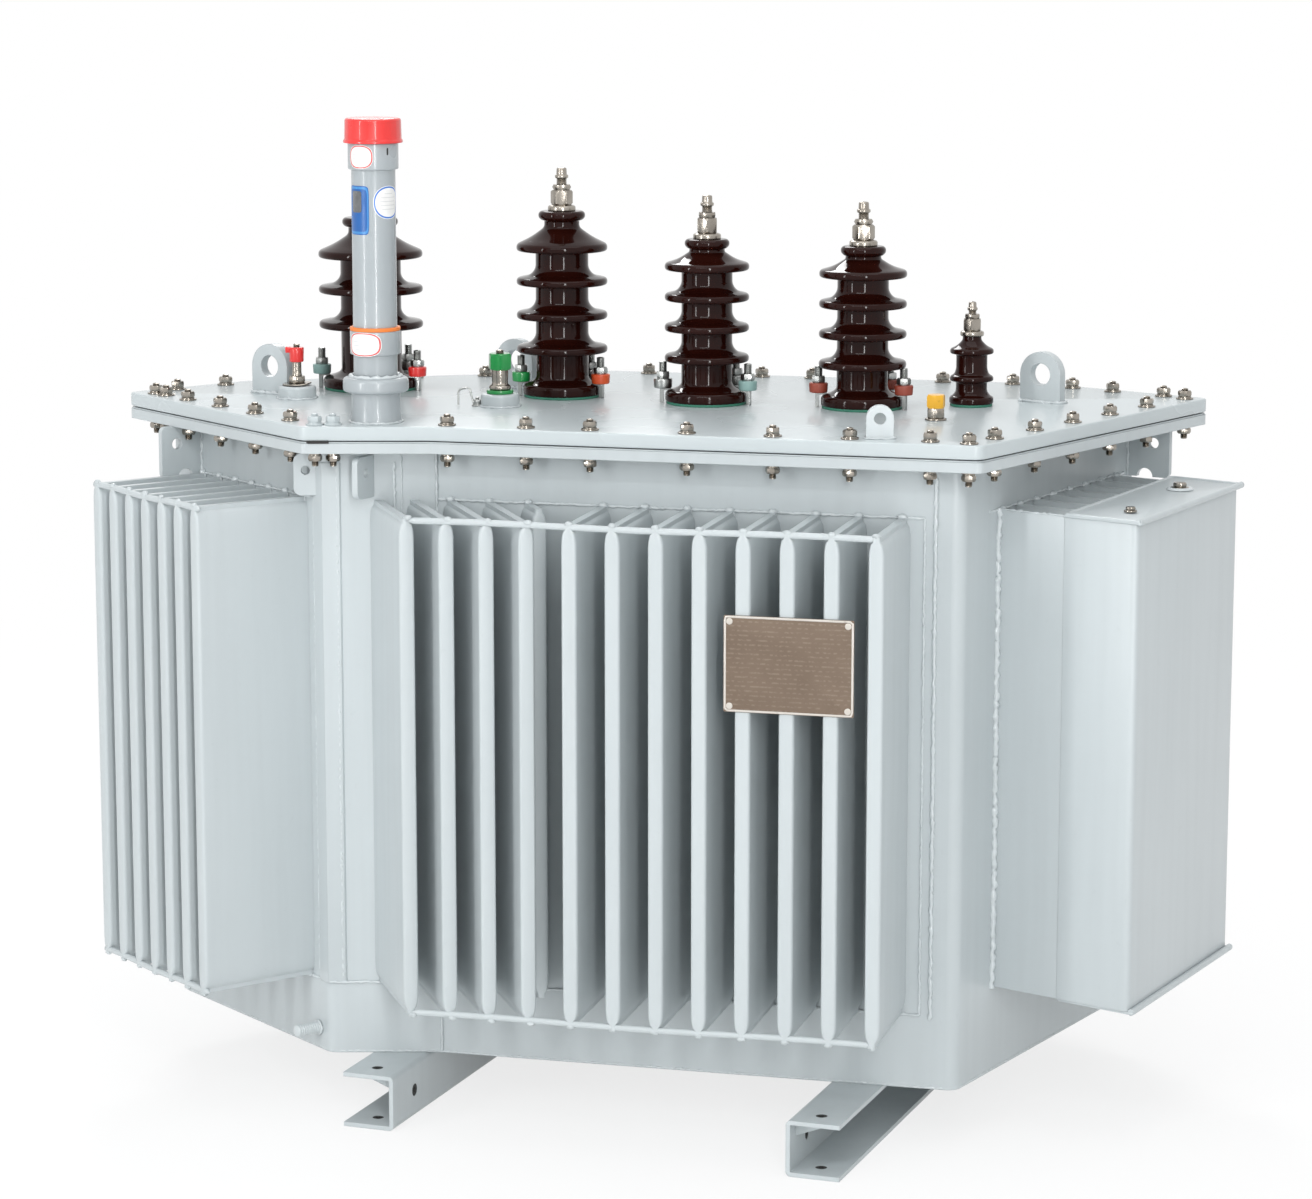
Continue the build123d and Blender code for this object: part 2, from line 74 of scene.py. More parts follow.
def joined(shapes):
    # all points in one list, each shape's quads moved on by the points before it
    counts = np.cumsum([0] + [len(points) for points, quads in shapes[:-1]])
    moved = [quads + count for (points, quads), count in zip(shapes, counts)]
    return np.concatenate([points for points, quads in shapes]), np.concatenate(moved)


def placed(shape, x=0.0, y=0.0, z=0.0, turn=0.0):
    # turn about Z in degrees, then shift
    p, quads = shape
    c, s = math.cos(math.radians(turn)), math.sin(math.radians(turn))
    return np.column_stack((p[:, 0] * c - p[:, 1] * s + x, p[:, 0] * s + p[:, 1] * c + y, p[:, 2] + z)), quads


def tipped(shape, axis="x"):
    # Z goes to -Y about the X axis, or to X about the Y axis
    p, quads = shape
    if axis == "x":
        return np.column_stack((p[:, 0], -p[:, 2], p[:, 1])), quads
    return np.column_stack((p[:, 2], p[:, 1], -p[:, 0])), quads


def flipped(shape):
    # Z goes to -Z, with the quads turned round to keep facing outwards
    p, quads = shape
    return p * (1, 1, -1), quads[:, ::-1]


def rounded(corners, radius, steps=4, closed=False):
    # each corner becomes a parabola that starts a radius before it: a (1 - s)^2 + 2 c s (1 - s) + b s^2
    c = np.asarray(corners, float)
    before, after = c - np.roll(c, 1, 0), np.roll(c, -1, 0) - c
    lengthBefore = np.linalg.norm(before, axis=1)[:, None] + 1e-9
    lengthAfter = np.linalg.norm(after, axis=1)[:, None] + 1e-9
    reach = np.minimum(np.broadcast_to(np.reshape(radius, (-1, 1)), (len(c), 1)),
                       0.48 * np.minimum(lengthBefore, lengthAfter))
    start, end = c - before / lengthBefore * reach, c + after / lengthAfter * reach
    s = np.linspace(0, 1, steps + 1)[None, :, None]
    bend = start[:, None] * (1 - s) ** 2 + 2 * c[:, None] * s * (1 - s) + end[:, None] * s ** 2
    if closed:
        return bend.reshape(-1, c.shape[1])
    return np.concatenate((c[:1], bend[1:-1].reshape(-1, c.shape[1]), c[-1:]))


def insetLine(corners, distance):
    # every edge of a closed outline moved inwards, corners kept mitred
    c = np.asarray(corners, float)
    edge = np.roll(c, -1, 0) - c
    normal = np.column_stack((-edge[:, 1], edge[:, 0])) / np.linalg.norm(edge, axis=1)[:, None]
    last = np.roll(normal, 1, 0)
    return c + (normal + last) * (distance / (1 + (normal * last).sum(1)))[:, None]


def level(line, z, closed=False):
    # a flat line lifted to a height, its first point repeated at the end where it is closed
    if closed:
        line = np.vstack((line, line[:1]))
    return np.column_stack((line, np.full(len(line), z)))


def capped(rings, ends):
    # rings closed at the bottom and top by rings shrunk to the ends
    return gridShape(np.concatenate((ends[:1], rings, ends[1:])))


def slabShape(corners, radius, low, high, edge, steps=4):
    # an outline stacked up, drawn in at each face by a quarter circle: e (1 - sin a) in, e (1 - cos a) up
    a = np.linspace(0, np.pi / 2, steps)
    lift, draw = edge * (1 - np.cos(a)), edge * (1 - np.sin(a))
    heights = np.concatenate((low + lift, high - lift[::-1]))
    draws = np.concatenate((draw, draw[::-1]))
    rings = np.array([level(rounded(insetLine(corners, d), radius, 5, True), z)
                      for d, z in zip(draws, heights)])
    ends = rings[[0, -1]]
    ends[:, :, :2] = np.asarray(corners, float).mean(0)
    return capped(rings, ends)


def turnedShape(profile, sides=48, radii=None, steps=3):
    # x = r cos t, y = r sin t for each (r, z) of the profile, whose corners are rounded where radii are given
    line = np.asarray(profile, float) if radii is None else rounded(profile, radii, steps)
    t = np.linspace(0, 2 * np.pi, sides, endpoint=False)[None]
    r, z = line[:, 0:1], line[:, 1:2]
    return gridShape(np.stack((r * np.cos(t), r * np.sin(t), z + 0 * t), -1))


def discShape(radius, thick, lowEdge, highEdge, steps, sides):
    # a flat disc standing on zero, its two edges rounded
    profile = [(0, 0), (radius, 0), (radius, thick), (0, thick)]
    return turnedShape(profile, sides, [0, lowEdge, highEdge, 0], steps)


def nutShape(flats, low, high, sides=24, bevel=0.12):
    # r is the flat's distance over the cosine of the angle to it, and both faces are turned down to a circle
    t = np.linspace(0, 2 * np.pi, sides, endpoint=False)
    flat = flats / 2 / np.cos((t + np.pi / 6) % (np.pi / 3) - np.pi / 6)
    face = np.minimum(flat, flats / 2 * 0.98)
    cut = flats * bevel
    rows = [(0 * t, low), (face, low), (flat, low + cut), (flat, high - cut), (face, high), (0 * t, high)]
    return gridShape(np.array([level(np.column_stack((r * np.cos(t), r * np.sin(t))), z) for r, z in rows]))


def threadProfile(radius, low, high, pitch=1.75, depth=0.9):
    # ridge and groove by turns every half pitch, with a domed tip
    z = np.arange(low, high - radius * 0.25, pitch / 2)
    r = radius - depth * (np.arange(len(z)) % 2)
    tip = [(radius * 0.92, high - radius * 0.18), (radius * 0.6, high - 0.04 * radius), (0, high)]
    return [(0, low)] + list(zip(r, z)) + tip


def tubeShape(path, radius, sides=10, ref=(0, 0, 1), flat=1.0):
    # circles across a path, p + r (cos t side + sin t up), closed at both ends
    path = np.asarray(path, float)
    along = np.gradient(path, axis=0)
    along /= np.linalg.norm(along, axis=1)[:, None]
    side = np.cross(along, ref)
    side /= np.linalg.norm(side, axis=1)[:, None]
    up = np.cross(side, along) * flat
    t = np.linspace(0, 2 * np.pi, sides, endpoint=False)[None, :, None]
    r = np.broadcast_to(radius, len(path))[:, None, None]
    rings = path[:, None] + r * (np.cos(t) * side[:, None] + np.sin(t) * up[:, None])
    ends = np.array([np.broadcast_to(point, (sides, 3)) for point in (path[0], path[-1])])
    return capped(rings, ends)


def resampled(path, spacing):
    # evenly spaced points along a broken line
    path = np.asarray(path, float)
    run = np.concatenate(([0], np.cumsum(np.linalg.norm(np.diff(path, axis=0), axis=1))))
    s = np.linspace(0, run[-1], max(int(run[-1] / spacing), 2) + 1)
    return np.column_stack([np.interp(s, run, path[:, k]) for k in range(path.shape[1])])


def weldShape(path, width, seed=1, ref=(0.31, 0.17, 1), spacing=4.0, sides=6):
    # a tube whose radius ripples like laid metal: a sine of the length plus noise
    line = resampled(path, spacing)
    n = len(line)
    noise = np.random.default_rng(seed)
    ripple = 0.82 + 0.16 * np.sin(np.arange(n) * 1.9 + noise.random() * 6) + 0.12 * noise.standard_normal(n)
    wander = noise.standard_normal((n, 3)) * width * 0.07
    return tubeShape(line + wander, width / 2 * np.clip(ripple, 0.5, 1.25), sides, ref)


def uprightWeld(x, y, start, end, width, seed, spacing=4.0, sides=6):
    # a bead straight up or down
    return weldShape([(x, y, start), (x, y, end)], width, seed, (1, 0.2, 0), spacing, sides)


def blobShape(x, y, z, rx, ry, rz, turn=0.0, seed=0):
    # a squashed ball, each point of its rings a little off round
    noise = np.random.default_rng(seed)
    a = np.linspace(-np.pi / 2, np.pi / 2, 6)[:, None]
    b = np.linspace(0, 2 * np.pi, 8, endpoint=False)[None]
    swell = 1 + 0.13 * noise.standard_normal((6, 8)) * (np.cos(a) > 0.1)
    ring = np.cos(a) * swell
    grid = np.stack((rx * ring * np.cos(b), ry * ring * np.sin(b), rz * np.sin(a) + 0 * b), -1)
    return placed(gridShape(grid), x, y, z, turn)


def ringPath(x, y, z, radius, sides):
    # points round a circle, the last on the first
    t = np.radians(np.linspace(0, 360, sides + 1))
    return level(np.column_stack((x + radius * np.cos(t), y + radius * np.sin(t))), z)


def finishedPiece(name, shapes, material, sharp=35, stands=()):
    # doubles merged, faces turned outwards, put on the frame in place of the nodes it stands for
    points, quads = joined(shapes) if isinstance(shapes, list) else shapes
    mesh = bpy.data.meshes.new(name)
    mesh.vertices.add(len(points))
    mesh.vertices.foreach_set("co", toFrame(points).astype(np.float32).ravel())
    mesh.loops.add(len(quads) * 4)
    mesh.loops.foreach_set("vertex_index", quads.astype(np.int32).ravel())
    mesh.polygons.add(len(quads))
    mesh.polygons.foreach_set("loop_start", np.arange(len(quads), dtype=np.int32) * 4)
    mesh.update(calc_edges=True)
    work = bmesh.new()
    work.from_mesh(mesh)
    bmesh.ops.remove_doubles(work, verts=work.verts, dist=2e-6)
    bmesh.ops.dissolve_degenerate(work, edges=work.edges, dist=1e-6)
    bmesh.ops.recalc_face_normals(work, faces=work.faces)
    work.to_mesh(mesh)
    work.free()
    mesh.polygons.foreach_set("use_smooth", np.ones(len(mesh.polygons), bool))
    mesh.set_sharp_from_angle(angle=math.radians(sharp))
    piece = bpy.data.objects.new(name, mesh)
    bpy.context.scene.collection.objects.link(piece)
    mesh.materials.append(material)
    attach(piece, "root")
    if stands:
        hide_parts(*stands)
    return piece


# The lid's outline and the tank's walls

def step(point, length, angle):
    # the point a length away at an angle
    return point + length * np.array((math.cos(math.radians(angle)), math.sin(math.radians(angle))))


def lidCorners(v):
    # walked both ways round from the concave corner, listed anticlockwise from the front left one
    notch = np.zeros(2)
    frontLeft = step(notch, *v["face"])
    leftTip = step(frontLeft, *v["left"])
    leftEnd = step(leftTip, *v["end"])
    backLeft = step(leftEnd, *v["backLeft"])
    frontRight = step(notch, *v["front"])
    rightTip = step(frontRight, *v["right"])
    backRight = step(rightTip, *v["tip"])
    return np.array((frontLeft, notch, frontRight, rightTip, backRight, backLeft, leftEnd, leftTip))


def tankCorners(v):
    # the lid drawn in by its overhang, its right wall turned to an angle of its own until it meets the tip's
    tank = insetLine(lidCorners(v), v["overhang"])
    wall, tip, gap = step(np.zeros(2), 1, v["rightWall"]), tank[4] - tank[3], tank[3] - tank[2]
    reach = (gap[0] * tip[1] - gap[1] * tip[0]) / (wall[0] * tip[1] - wall[1] * tip[0])
    tank[3] = tank[2] + wall * reach
    return tank


def edgesOf(outline):
    # each edge by its name, as its two ends
    return {name: (outline[i], outline[(i + 1) % 8]) for i, name in enumerate(edgeNames)}


def lengthOf(edge):
    return float(np.linalg.norm(edge[1] - edge[0]))


def wallPlace(edge, along, out=0.0):
    # a spot along an edge and out from it, and the edge's direction in degrees
    d = (edge[1] - edge[0]) / np.linalg.norm(edge[1] - edge[0])
    spot = edge[0] + d * along + np.array((d[1], -d[0])) * out
    return spot[0], spot[1], math.degrees(math.atan2(d[1], d[0]))


def wallSpot(edge, along, out, z):
    return (*wallPlace(edge, along, out)[:2], z)


lidOutline = np.round(lidCorners(outlineValues), 2)
tankOutline = np.round(tankCorners(outlineValues), 2)
lidEdges, walls = edgesOf(lidOutline), edgesOf(tankOutline)
frontLeft, notch = walls["face"]
frontLength, leftLength = lengthOf(walls["front"]), lengthOf(walls["left"])


# Shader nodes and the groups that the finishes share

def newGroup(name, inputs, outputs):
    group = bpy.data.node_groups.new(name, "ShaderNodeTree")
    for label, value in inputs.items():
        socket = group.interface.new_socket(name=label, in_out="INPUT", socket_type="NodeSocketFloat")
        socket.default_value = value
    for label in outputs:
        group.interface.new_socket(name=label, in_out="OUTPUT", socket_type="NodeSocketFloat")
    return group, group.nodes.new("NodeGroupInput").outputs, group.nodes.new("NodeGroupOutput").inputs


def node(tree, kind, inputs=None, **settings):
    # a node with its settings, each input joined to a socket or given a value, colours with full alpha
    made = tree.nodes.new(kind)
    for key, value in settings.items():
        setattr(made, key, value)
    for key, value in (inputs or {}).items():
        socket = made.inputs[key]
        if isinstance(value, bpy.types.NodeSocket):
            tree.links.new(value, socket)
        else:
            socket.default_value = (*value, 1.0) if socket.type == "RGBA" else value
    return made


def mathNode(tree, operation, a, b=0.0):
    return node(tree, "ShaderNodeMath", {0: a, 1: b}, operation=operation).outputs[0]


def spread(tree, value, low, high):
    # 0 below low, 1 above high, straight between
    return node(tree, "ShaderNodeMapRange", {"Value": value, "From Min": low, "From Max": high}).outputs[0]


def noiseNode(tree, place, scale, detail):
    return node(tree, "ShaderNodeTexNoise", {"Vector": place, "Scale": scale, "Detail": detail}).outputs[0]


def objectPlace(tree):
    return node(tree, "ShaderNodeTexCoord").outputs["Object"]


def mixColour(tree, factor, a, b, strength=1.0):
    # a where the mask is 0, turning to b as mask times strength goes to 1
    scaled = mathNode(tree, "MULTIPLY", factor, strength)
    return node(tree, "ShaderNodeMix", {0: scaled, 6: a, 7: b}, data_type="RGBA").outputs[2]


def scaledSum(tree, mask, share, base):
    # base plus share times a mask
    return mathNode(tree, "ADD", mathNode(tree, "MULTIPLY", mask, share), base)


def addBump(tree, shader, height, strength, distance):
    bump = node(tree, "ShaderNodeBump", {"Height": height, "Strength": strength, "Distance": distance})
    tree.links.new(bump.outputs[0], shader.inputs["Normal"])
    return bump


def newMaterial(name):
    material = bpy.data.materials.new(name)
    material.use_nodes = True
    tree = material.node_tree
    return material, tree, tree.nodes["Principled BSDF"]


def buildAgeing():
    # handling dirt in broad patches, fine specks, runs that follow gravity, and orange-peel grain
    sizes = {"Patch Size": 3.0, "Grain Size": 260.0}
    group, given, out = newGroup("ageing", sizes, ("Patches", "Specks", "Runs", "Grain"))
    place = objectPlace(group)
    stretch = node(group, "ShaderNodeMapping", {"Vector": place, "Scale": (26, 26, 1.4)}).outputs[0]
    masks = {
        "Patches": spread(group, noiseNode(group, place, given["Patch Size"], 2), 0.3, 0.75),
        "Specks": spread(group, noiseNode(group, place, 90, 3), 0.66, 0.74),
        "Runs": spread(group, noiseNode(group, stretch, 1.6, 2), 0.4, 0.9),
        "Grain": noiseNode(group, place, given["Grain Size"], 2),
    }
    for label, mask in masks.items():
        group.links.new(mask, out[label])
    return group


def buildCrevice():
    # how far a point sits in a corner: occlusion within a few centimetres, which the finishes use to paint
    # shade into corners
    group, given, out = newGroup("crevice", {"Reach": 0.03}, ("Depth",))
    shade = node(group, "ShaderNodeAmbientOcclusion", {"Distance": given["Reach"]}, samples=3)
    dark = mathNode(group, "SUBTRACT", 1.0, shade.outputs["AO"])
    group.links.new(spread(group, dark, 0.25, 0.9), out["Depth"])
    return group


ageing, crevice = buildAgeing(), buildCrevice()
# corners is how strongly occlusion paints shade into corners and crevices
plainFinish = {
    "patchSize": 3.0, "grainSize": 260.0, "reach": 0.02, "patches": 0.5, "runs": 0.0, "specks": 0.3,
    "corners": 0.5, "roughSpread": 0.15, "metal": 0.0, "gloss": 0.5, "coat": 0.0, "coatRough": 0.08,
    "bump": 0.1, "bumpDepth": 0.0006, "soften": 0.0,
}


def agedMaterial(name, colour, worn, dirtAndShade, rough, **changes):
    # one colour dulled by patches, specked and streaked downwards with dirt, and darkened in corners by
    # occlusion as painted shade; patches roughen it
    v = {**plainFinish, **changes}
    material, tree, shader = newMaterial(name)
    sizes = {"Patch Size": v["patchSize"], "Grain Size": v["grainSize"]}
    age = node(tree, "ShaderNodeGroup", node_tree=ageing)
    deep = node(tree, "ShaderNodeGroup", node_tree=crevice)
    deep.inputs["Reach"].default_value = v["reach"]
    for label, size in sizes.items():
        age.inputs[label].default_value = size
    mixed = mixColour(tree, age.outputs["Patches"], colour, worn, v["patches"])
    mixed = mixColour(tree, age.outputs["Runs"], mixed, dirtAndShade, v["runs"])
    mixed = mixColour(tree, age.outputs["Specks"], mixed, dirtAndShade, v["specks"])
    # painted shade: occlusion darkens corners and crevices towards the dirt colour, as strongly as the
    # corners value asks
    mixed = mixColour(tree, deep.outputs[0], mixed, dirtAndShade, v["corners"])
    tree.links.new(mixed, shader.inputs["Base Color"])
    roughness = scaledSum(tree, age.outputs["Patches"], v["roughSpread"], rough)
    tree.links.new(roughness, shader.inputs["Roughness"])
    shader.inputs["Metallic"].default_value = v["metal"]
    shader.inputs["Specular IOR Level"].default_value = v["gloss"]
    shader.inputs["Coat Weight"].default_value = v["coat"]
    shader.inputs["Coat Roughness"].default_value = v["coatRough"]
    bump = addBump(tree, shader, age.outputs["Grain"], v["bump"], v["bumpDepth"])
    if v["soften"]:
        edge = node(tree, "ShaderNodeBevel", {"Radius": v["soften"]}, samples=4)
        tree.links.new(edge.outputs[0], bump.inputs["Normal"])
    return material


# each finish: its colour, worn colour, a dirt colour that also takes the painted shade in corners, and
# roughness, then what differs from a plain finish
finishes = {
    "tankPaint": agedMaterial(
        "tank_paint", (0.49, 0.535, 0.55), (0.455, 0.50, 0.515), (0.22, 0.245, 0.255), 0.34, patches=0.4,
        runs=0.10, specks=0.05, corners=0.3, roughSpread=0.06, reach=0.012, coat=0.15, coatRough=0.12,
        soften=0.0016),
    "lidPaint": agedMaterial(
        "lid_paint", (0.50, 0.55, 0.565), (0.465, 0.515, 0.53), (0.33, 0.36, 0.37), 0.24, patches=0.4,
        specks=0.06, corners=0.25, roughSpread=0.06, coat=0.15, coatRough=0.12, gloss=0.28, bump=0.06,
        grainSize=160.0),
    "weld": agedMaterial(
        "weld_paint", (0.56, 0.605, 0.62), (0.49, 0.535, 0.55), (0.34, 0.37, 0.38), 0.24, patches=0.6,
        patchSize=30.0, corners=0.15, coat=0.4, bump=0.3, grainSize=420.0),
    "porcelain": agedMaterial(
        "porcelain", (0.014, 0.0027, 0.0017), (0.024, 0.0046, 0.0028), (0.006, 0.0016, 0.0012), 0.05,
        patches=0.6, patchSize=22.0, specks=0.2, corners=0.4, roughSpread=0.03, gloss=0.18, bump=0.02,
        grainSize=90.0, reach=0.012),
    "bronze": agedMaterial(
        "nickelled_bronze", (0.38, 0.35, 0.31), (0.25, 0.225, 0.19), (0.07, 0.055, 0.04), 0.20, patches=0.7,
        patchSize=40.0, specks=0.4, corners=0.9, metal=1.0, roughSpread=0.12, bump=0.12, reach=0.006),
    "zinc": agedMaterial(
        "zinc", (0.44, 0.45, 0.44), (0.31, 0.32, 0.31), (0.10, 0.095, 0.085), 0.26, patches=0.6,
        patchSize=45.0, specks=0.4, corners=0.6, metal=1.0, roughSpread=0.2, bump=0.12, reach=0.006),
    "blackRubber": agedMaterial(
        "cork_rubber", (0.022, 0.022, 0.021), (0.045, 0.044, 0.042), (0.012, 0.012, 0.012), 0.75, bump=0.4),
    "greenRubber": agedMaterial(
        "green_rubber", (0.035, 0.20, 0.13), (0.05, 0.25, 0.17), (0.015, 0.07, 0.05), 0.55, bump=0.3),
    "orangeRubber": agedMaterial(
        "orange_rubber", (0.80, 0.20, 0.03), (0.70, 0.22, 0.06), (0.30, 0.08, 0.02), 0.45, bump=0.2),
    "tubePaint": agedMaterial(
        "tube_paint", (0.355, 0.39, 0.41), (0.32, 0.355, 0.37), (0.20, 0.215, 0.22), 0.26, patches=0.4,
        patchSize=9.0, specks=0.1, corners=0.35, coat=0.4, coatRough=0.1, bump=0.05),
    "redPlastic": agedMaterial(
        "red_plastic", (0.72, 0.020, 0.018), (0.62, 0.026, 0.02), (0.25, 0.01, 0.01), 0.25, patchSize=25.0,
        corners=0.4, coat=0.5, bump=0.05, reach=0.008),
    "greenPlastic": agedMaterial(
        "green_plastic", (0.008, 0.27, 0.055), (0.01, 0.22, 0.05), (0.004, 0.07, 0.02), 0.25, patchSize=25.0,
        coat=0.5, bump=0.05, reach=0.006),
    "amberPlastic": agedMaterial(
        "amber_plastic", (0.80, 0.42, 0.015), (0.70, 0.36, 0.02), (0.25, 0.11, 0.01), 0.3, patchSize=25.0,
        coat=0.4, coatRough=0.1, bump=0.05, reach=0.006),
    "terracotta": agedMaterial(
        "terracotta_plastic", (0.25, 0.045, 0.026), (0.34, 0.07, 0.04), (0.09, 0.02, 0.012), 0.38,
        patches=0.6, patchSize=30.0, bump=0.12, reach=0.006),
    "vermilion": agedMaterial(
        "vermilion_plastic", (0.62, 0.075, 0.018), (0.66, 0.11, 0.03), (0.18, 0.03, 0.01), 0.34,
        patches=0.6, patchSize=30.0, reach=0.006),
    "tealPlastic": agedMaterial(
        "teal_plastic", (0.22, 0.36, 0.34), (0.28, 0.42, 0.40), (0.09, 0.14, 0.13), 0.35, patches=0.6,
        patchSize=30.0, bump=0.12, reach=0.006),
    "plateEdge": agedMaterial(
        "plate_edge", (0.66, 0.63, 0.59), (0.50, 0.46, 0.40), (0.14, 0.11, 0.08), 0.32, patches=0.6,
        patchSize=40.0, metal=0.7),
    "darkGlass": agedMaterial(
        "sight_glass", (0.07, 0.075, 0.08), (0.16, 0.165, 0.17), (0.02, 0.02, 0.02), 0.12, patches=0.7,
        patchSize=60.0, coat=1.0, coatRough=0.04, bump=0.03),
}
print("materials made:", len(finishes))
paint, lidPaint, weldPaint = finishes["tankPaint"], finishes["lidPaint"], finishes["weld"]
bronze, zinc = finishes["bronze"], finishes["zinc"]


# Lid, its seal and its bolts

lidValues = {"edge": 2.6, "cornerRadius": 14.0, "boltInset": 26.0, "sealInset": 1.4, "sealGap": 1.7,
             "bareEnd": [(-181, -49.6), (-150, -41.2), (-152, -33), (-188, -42.6)]}
boltValues = {"washer": 14.0, "washerThick": 2.6, "spring": 0.76, "springThick": 2.0, "flats": 19.5,
              "nut": 9.5, "stud": 5.8, "tip": 4.0, "turnEach": 1.7}
lowerValues = {**boltValues, "tip": 9.0, "washer": 12.5}
# distances along each edge of the lid, from the corner that starts it
boltRuns = {
    "face": (18, 46), "front": (20, 147, 249, 402, 536, 655, 778), "right": (8, 82, 201, 317, 434, 553, 680),
    "tip": (70, 168, 247), "back": (47, 166, 290, 390, 478, 580, 676), "backLeft": (90, 229, 350, 470, 575),
    "end": (63, 160), "left": (47, 80, 152, 256, 365, 473),
}


def lidPlates(v):
    # the lid, the seal painted over round it and the bare end of the seal at the front left corner
    lid = slabShape(lidOutline, v["cornerRadius"], unit["lidBase"], lidTop, v["edge"], 5)
    finishedPiece("lid_plate", lid, lidPaint, stands=["lid"])
    sealLine = insetLine(lidOutline, v["sealInset"])
    sealTop = unit["lidBase"] - v["sealGap"]
    seal = slabShape(sealLine, v["cornerRadius"] - 1, unit["flangeTop"], sealTop, 0.4, 3)
    finishedPiece("painted_seal", seal, paint)
    bare = slabShape(v["bareEnd"], 1.0, unit["flangeTop"] + 0.2, unit["lidBase"], 0.3, 3)
    finishedPiece("bare_seal_end", bare, finishes["blackRubber"])


def boltShape(v):
    # washer, spring ring, chamfered nut and the stud's domed tip, standing on zero
    low = v["washerThick"]
    high = low + v["springThick"]
    top = high + v["nut"]
    wide = v["washer"] * v["spring"]
    washer = discShape(v["washer"], low, 0.5, 0.9, 2, 28)
    spring = turnedShape([(0, low), (wide, low), (wide, high), (0, high)], 24)
    stud = turnedShape(threadProfile(v["stud"], top - 1, top + v["tip"]), 16)
    return joined([washer, spring, nutShape(v["flats"], high, top), stud])


def lidBolts():
    # a nut above the lid and a bolt's end below the flange at each place, the nuts on the short face painted
    upper, lower = boltShape(boltValues), flipped(boltShape(lowerValues))
    metal, painted = [], []
    for name, edge in lidEdges.items():
        for along in boltRuns[name]:
            x, y, turn = wallPlace(edge, along, -lidValues["boltInset"])
            turn += along * boltValues["turnEach"]
            (painted if name == "face" else metal).append(placed(upper, x, y, lidTop, turn))
            metal.append(placed(lower, x, y, unit["flangeBase"], turn + 17))
    finishedPiece("lid_bolts", metal, bronze)
    finishedPiece("painted_bolts", painted, lidPaint)
    print("lid and", len(metal), "bolt ends done")


lidPlates(lidValues)
lidBolts()


# Cooling fins, their bars and the beads along their roots

finValues = {"thick": 24.0, "depth": 200.0, "seam": 12.0, "seamHeight": 7.0, "flare": 25.0, "nose": 6.5,
             "noseTaper": 0.34, "noseRound": 0.9, "root": 8.0}
barValues = {"radius": 5.0, "out": 195, "inset": 3, "sag": 1.2, "overhang": 14.0, "frontOverhang": 4.0,
             "drop": (7.0, 5.0, 4.4), "dropLift": 4.5}
beadValues = {"width": 5.5, "lump": (7.5, 5.5, 5.0), "run": 46, "runWidth": 4.5, "before": 40, "after": 34,
              "side": 30}
skewValues = {"angle": 31.0, "pitch": 63.0, "count": 5, "noseGap": 5, "lastGap": 24.3, "lastCut": 120,
              "root": 4}
# each row's wall, pitch and count, and the room after its last fin, none where the row is centred
rowValues = {"left": ("left", 52, 7, 56), "back": ("back", 67, 9, None),
             "back_left": ("backLeft", 52, 8, None), "front": ("front", 67, 8, 92)}
skewTurn = math.radians(skewValues["angle"])
skewLean = finValues["depth"] * math.tan(skewTurn)


def bladeShape(v, depth, height):
    # half thickness s + (f - s) sqrt(1 - (1 - t)^2) from the pressed seam s to the full f, with a round nose
    half, seam = v["thick"] / 2, v["seam"] / 2
    lift = np.concatenate(([0.0], np.linspace(0, 1, 9) * v["flare"] + v["seamHeight"]))
    heights = np.concatenate((lift, height - lift[::-1]))
    t = np.clip((np.minimum(heights, height - heights) - v["seamHeight"]) / v["flare"], 0, 1)
    wide = (seam + (half - seam) * np.sqrt(np.clip(1 - (1 - t) ** 2, 0, 1)))[:, None]
    a = np.linspace(0, np.pi / 2, 6)
    across = np.concatenate(([1.0], 1 - v["noseTaper"] * (1 - np.cos(a)), [0.0]))
    nose = depth - v["nose"] + v["nose"] * v["noseRound"] * np.sin(a)
    out = np.concatenate(([-v["root"]], nose, [depth]))
    x = np.concatenate((across, -across[-2::-1]))[None]
    y = np.concatenate((out, out[-2::-1]))[None]
    grid = np.stack((x * wide, -y + 0 * wide, heights[:, None] + 0 * x), -1)
    return capped(grid, grid[[0, -1]] * (0, 1, 1))


def barShape(edge, first, last, z, overhang, v):
    # a round bar bowed by sag sin(3 pi s), its ends rounded
    n = 60
    s = np.linspace(first - overhang, last + overhang, n)
    spots = np.array([wallPlace(edge, along, v["out"])[:2] for along in s])
    path = np.column_stack((spots, z + v["sag"] * np.sin(np.linspace(0, 3 * np.pi, n))))
    inEnd = np.clip(1 - np.minimum(s - s[0], s[-1] - s) / v["radius"], 0, 1)
    return tubeShape(path, v["radius"] * np.sqrt(np.clip(1 - inEnd ** 2, 0.02, 1)), 12)


def wallBeads(edge, first, last, spots, z, seed, v):
    # one bead along the wall, with a lump at each root and, above the fins, a run down beside it
    beads = [weldShape([wallSpot(edge, first, 1, z), wallSpot(edge, last, 1, z)], v["width"], seed)]
    for i, along in enumerate(spots):
        x, y, turn = wallPlace(edge, along, 3)
        beads.append(blobShape(x, y, z + 1, *v["lump"], turn, seed + i))
        if z > finTop:
            x, y, turn = wallPlace(edge, along + 5, 2)
            beads.append(uprightWeld(x, y, z, z - v["run"], v["runWidth"], seed + 40 + i))
    return beads


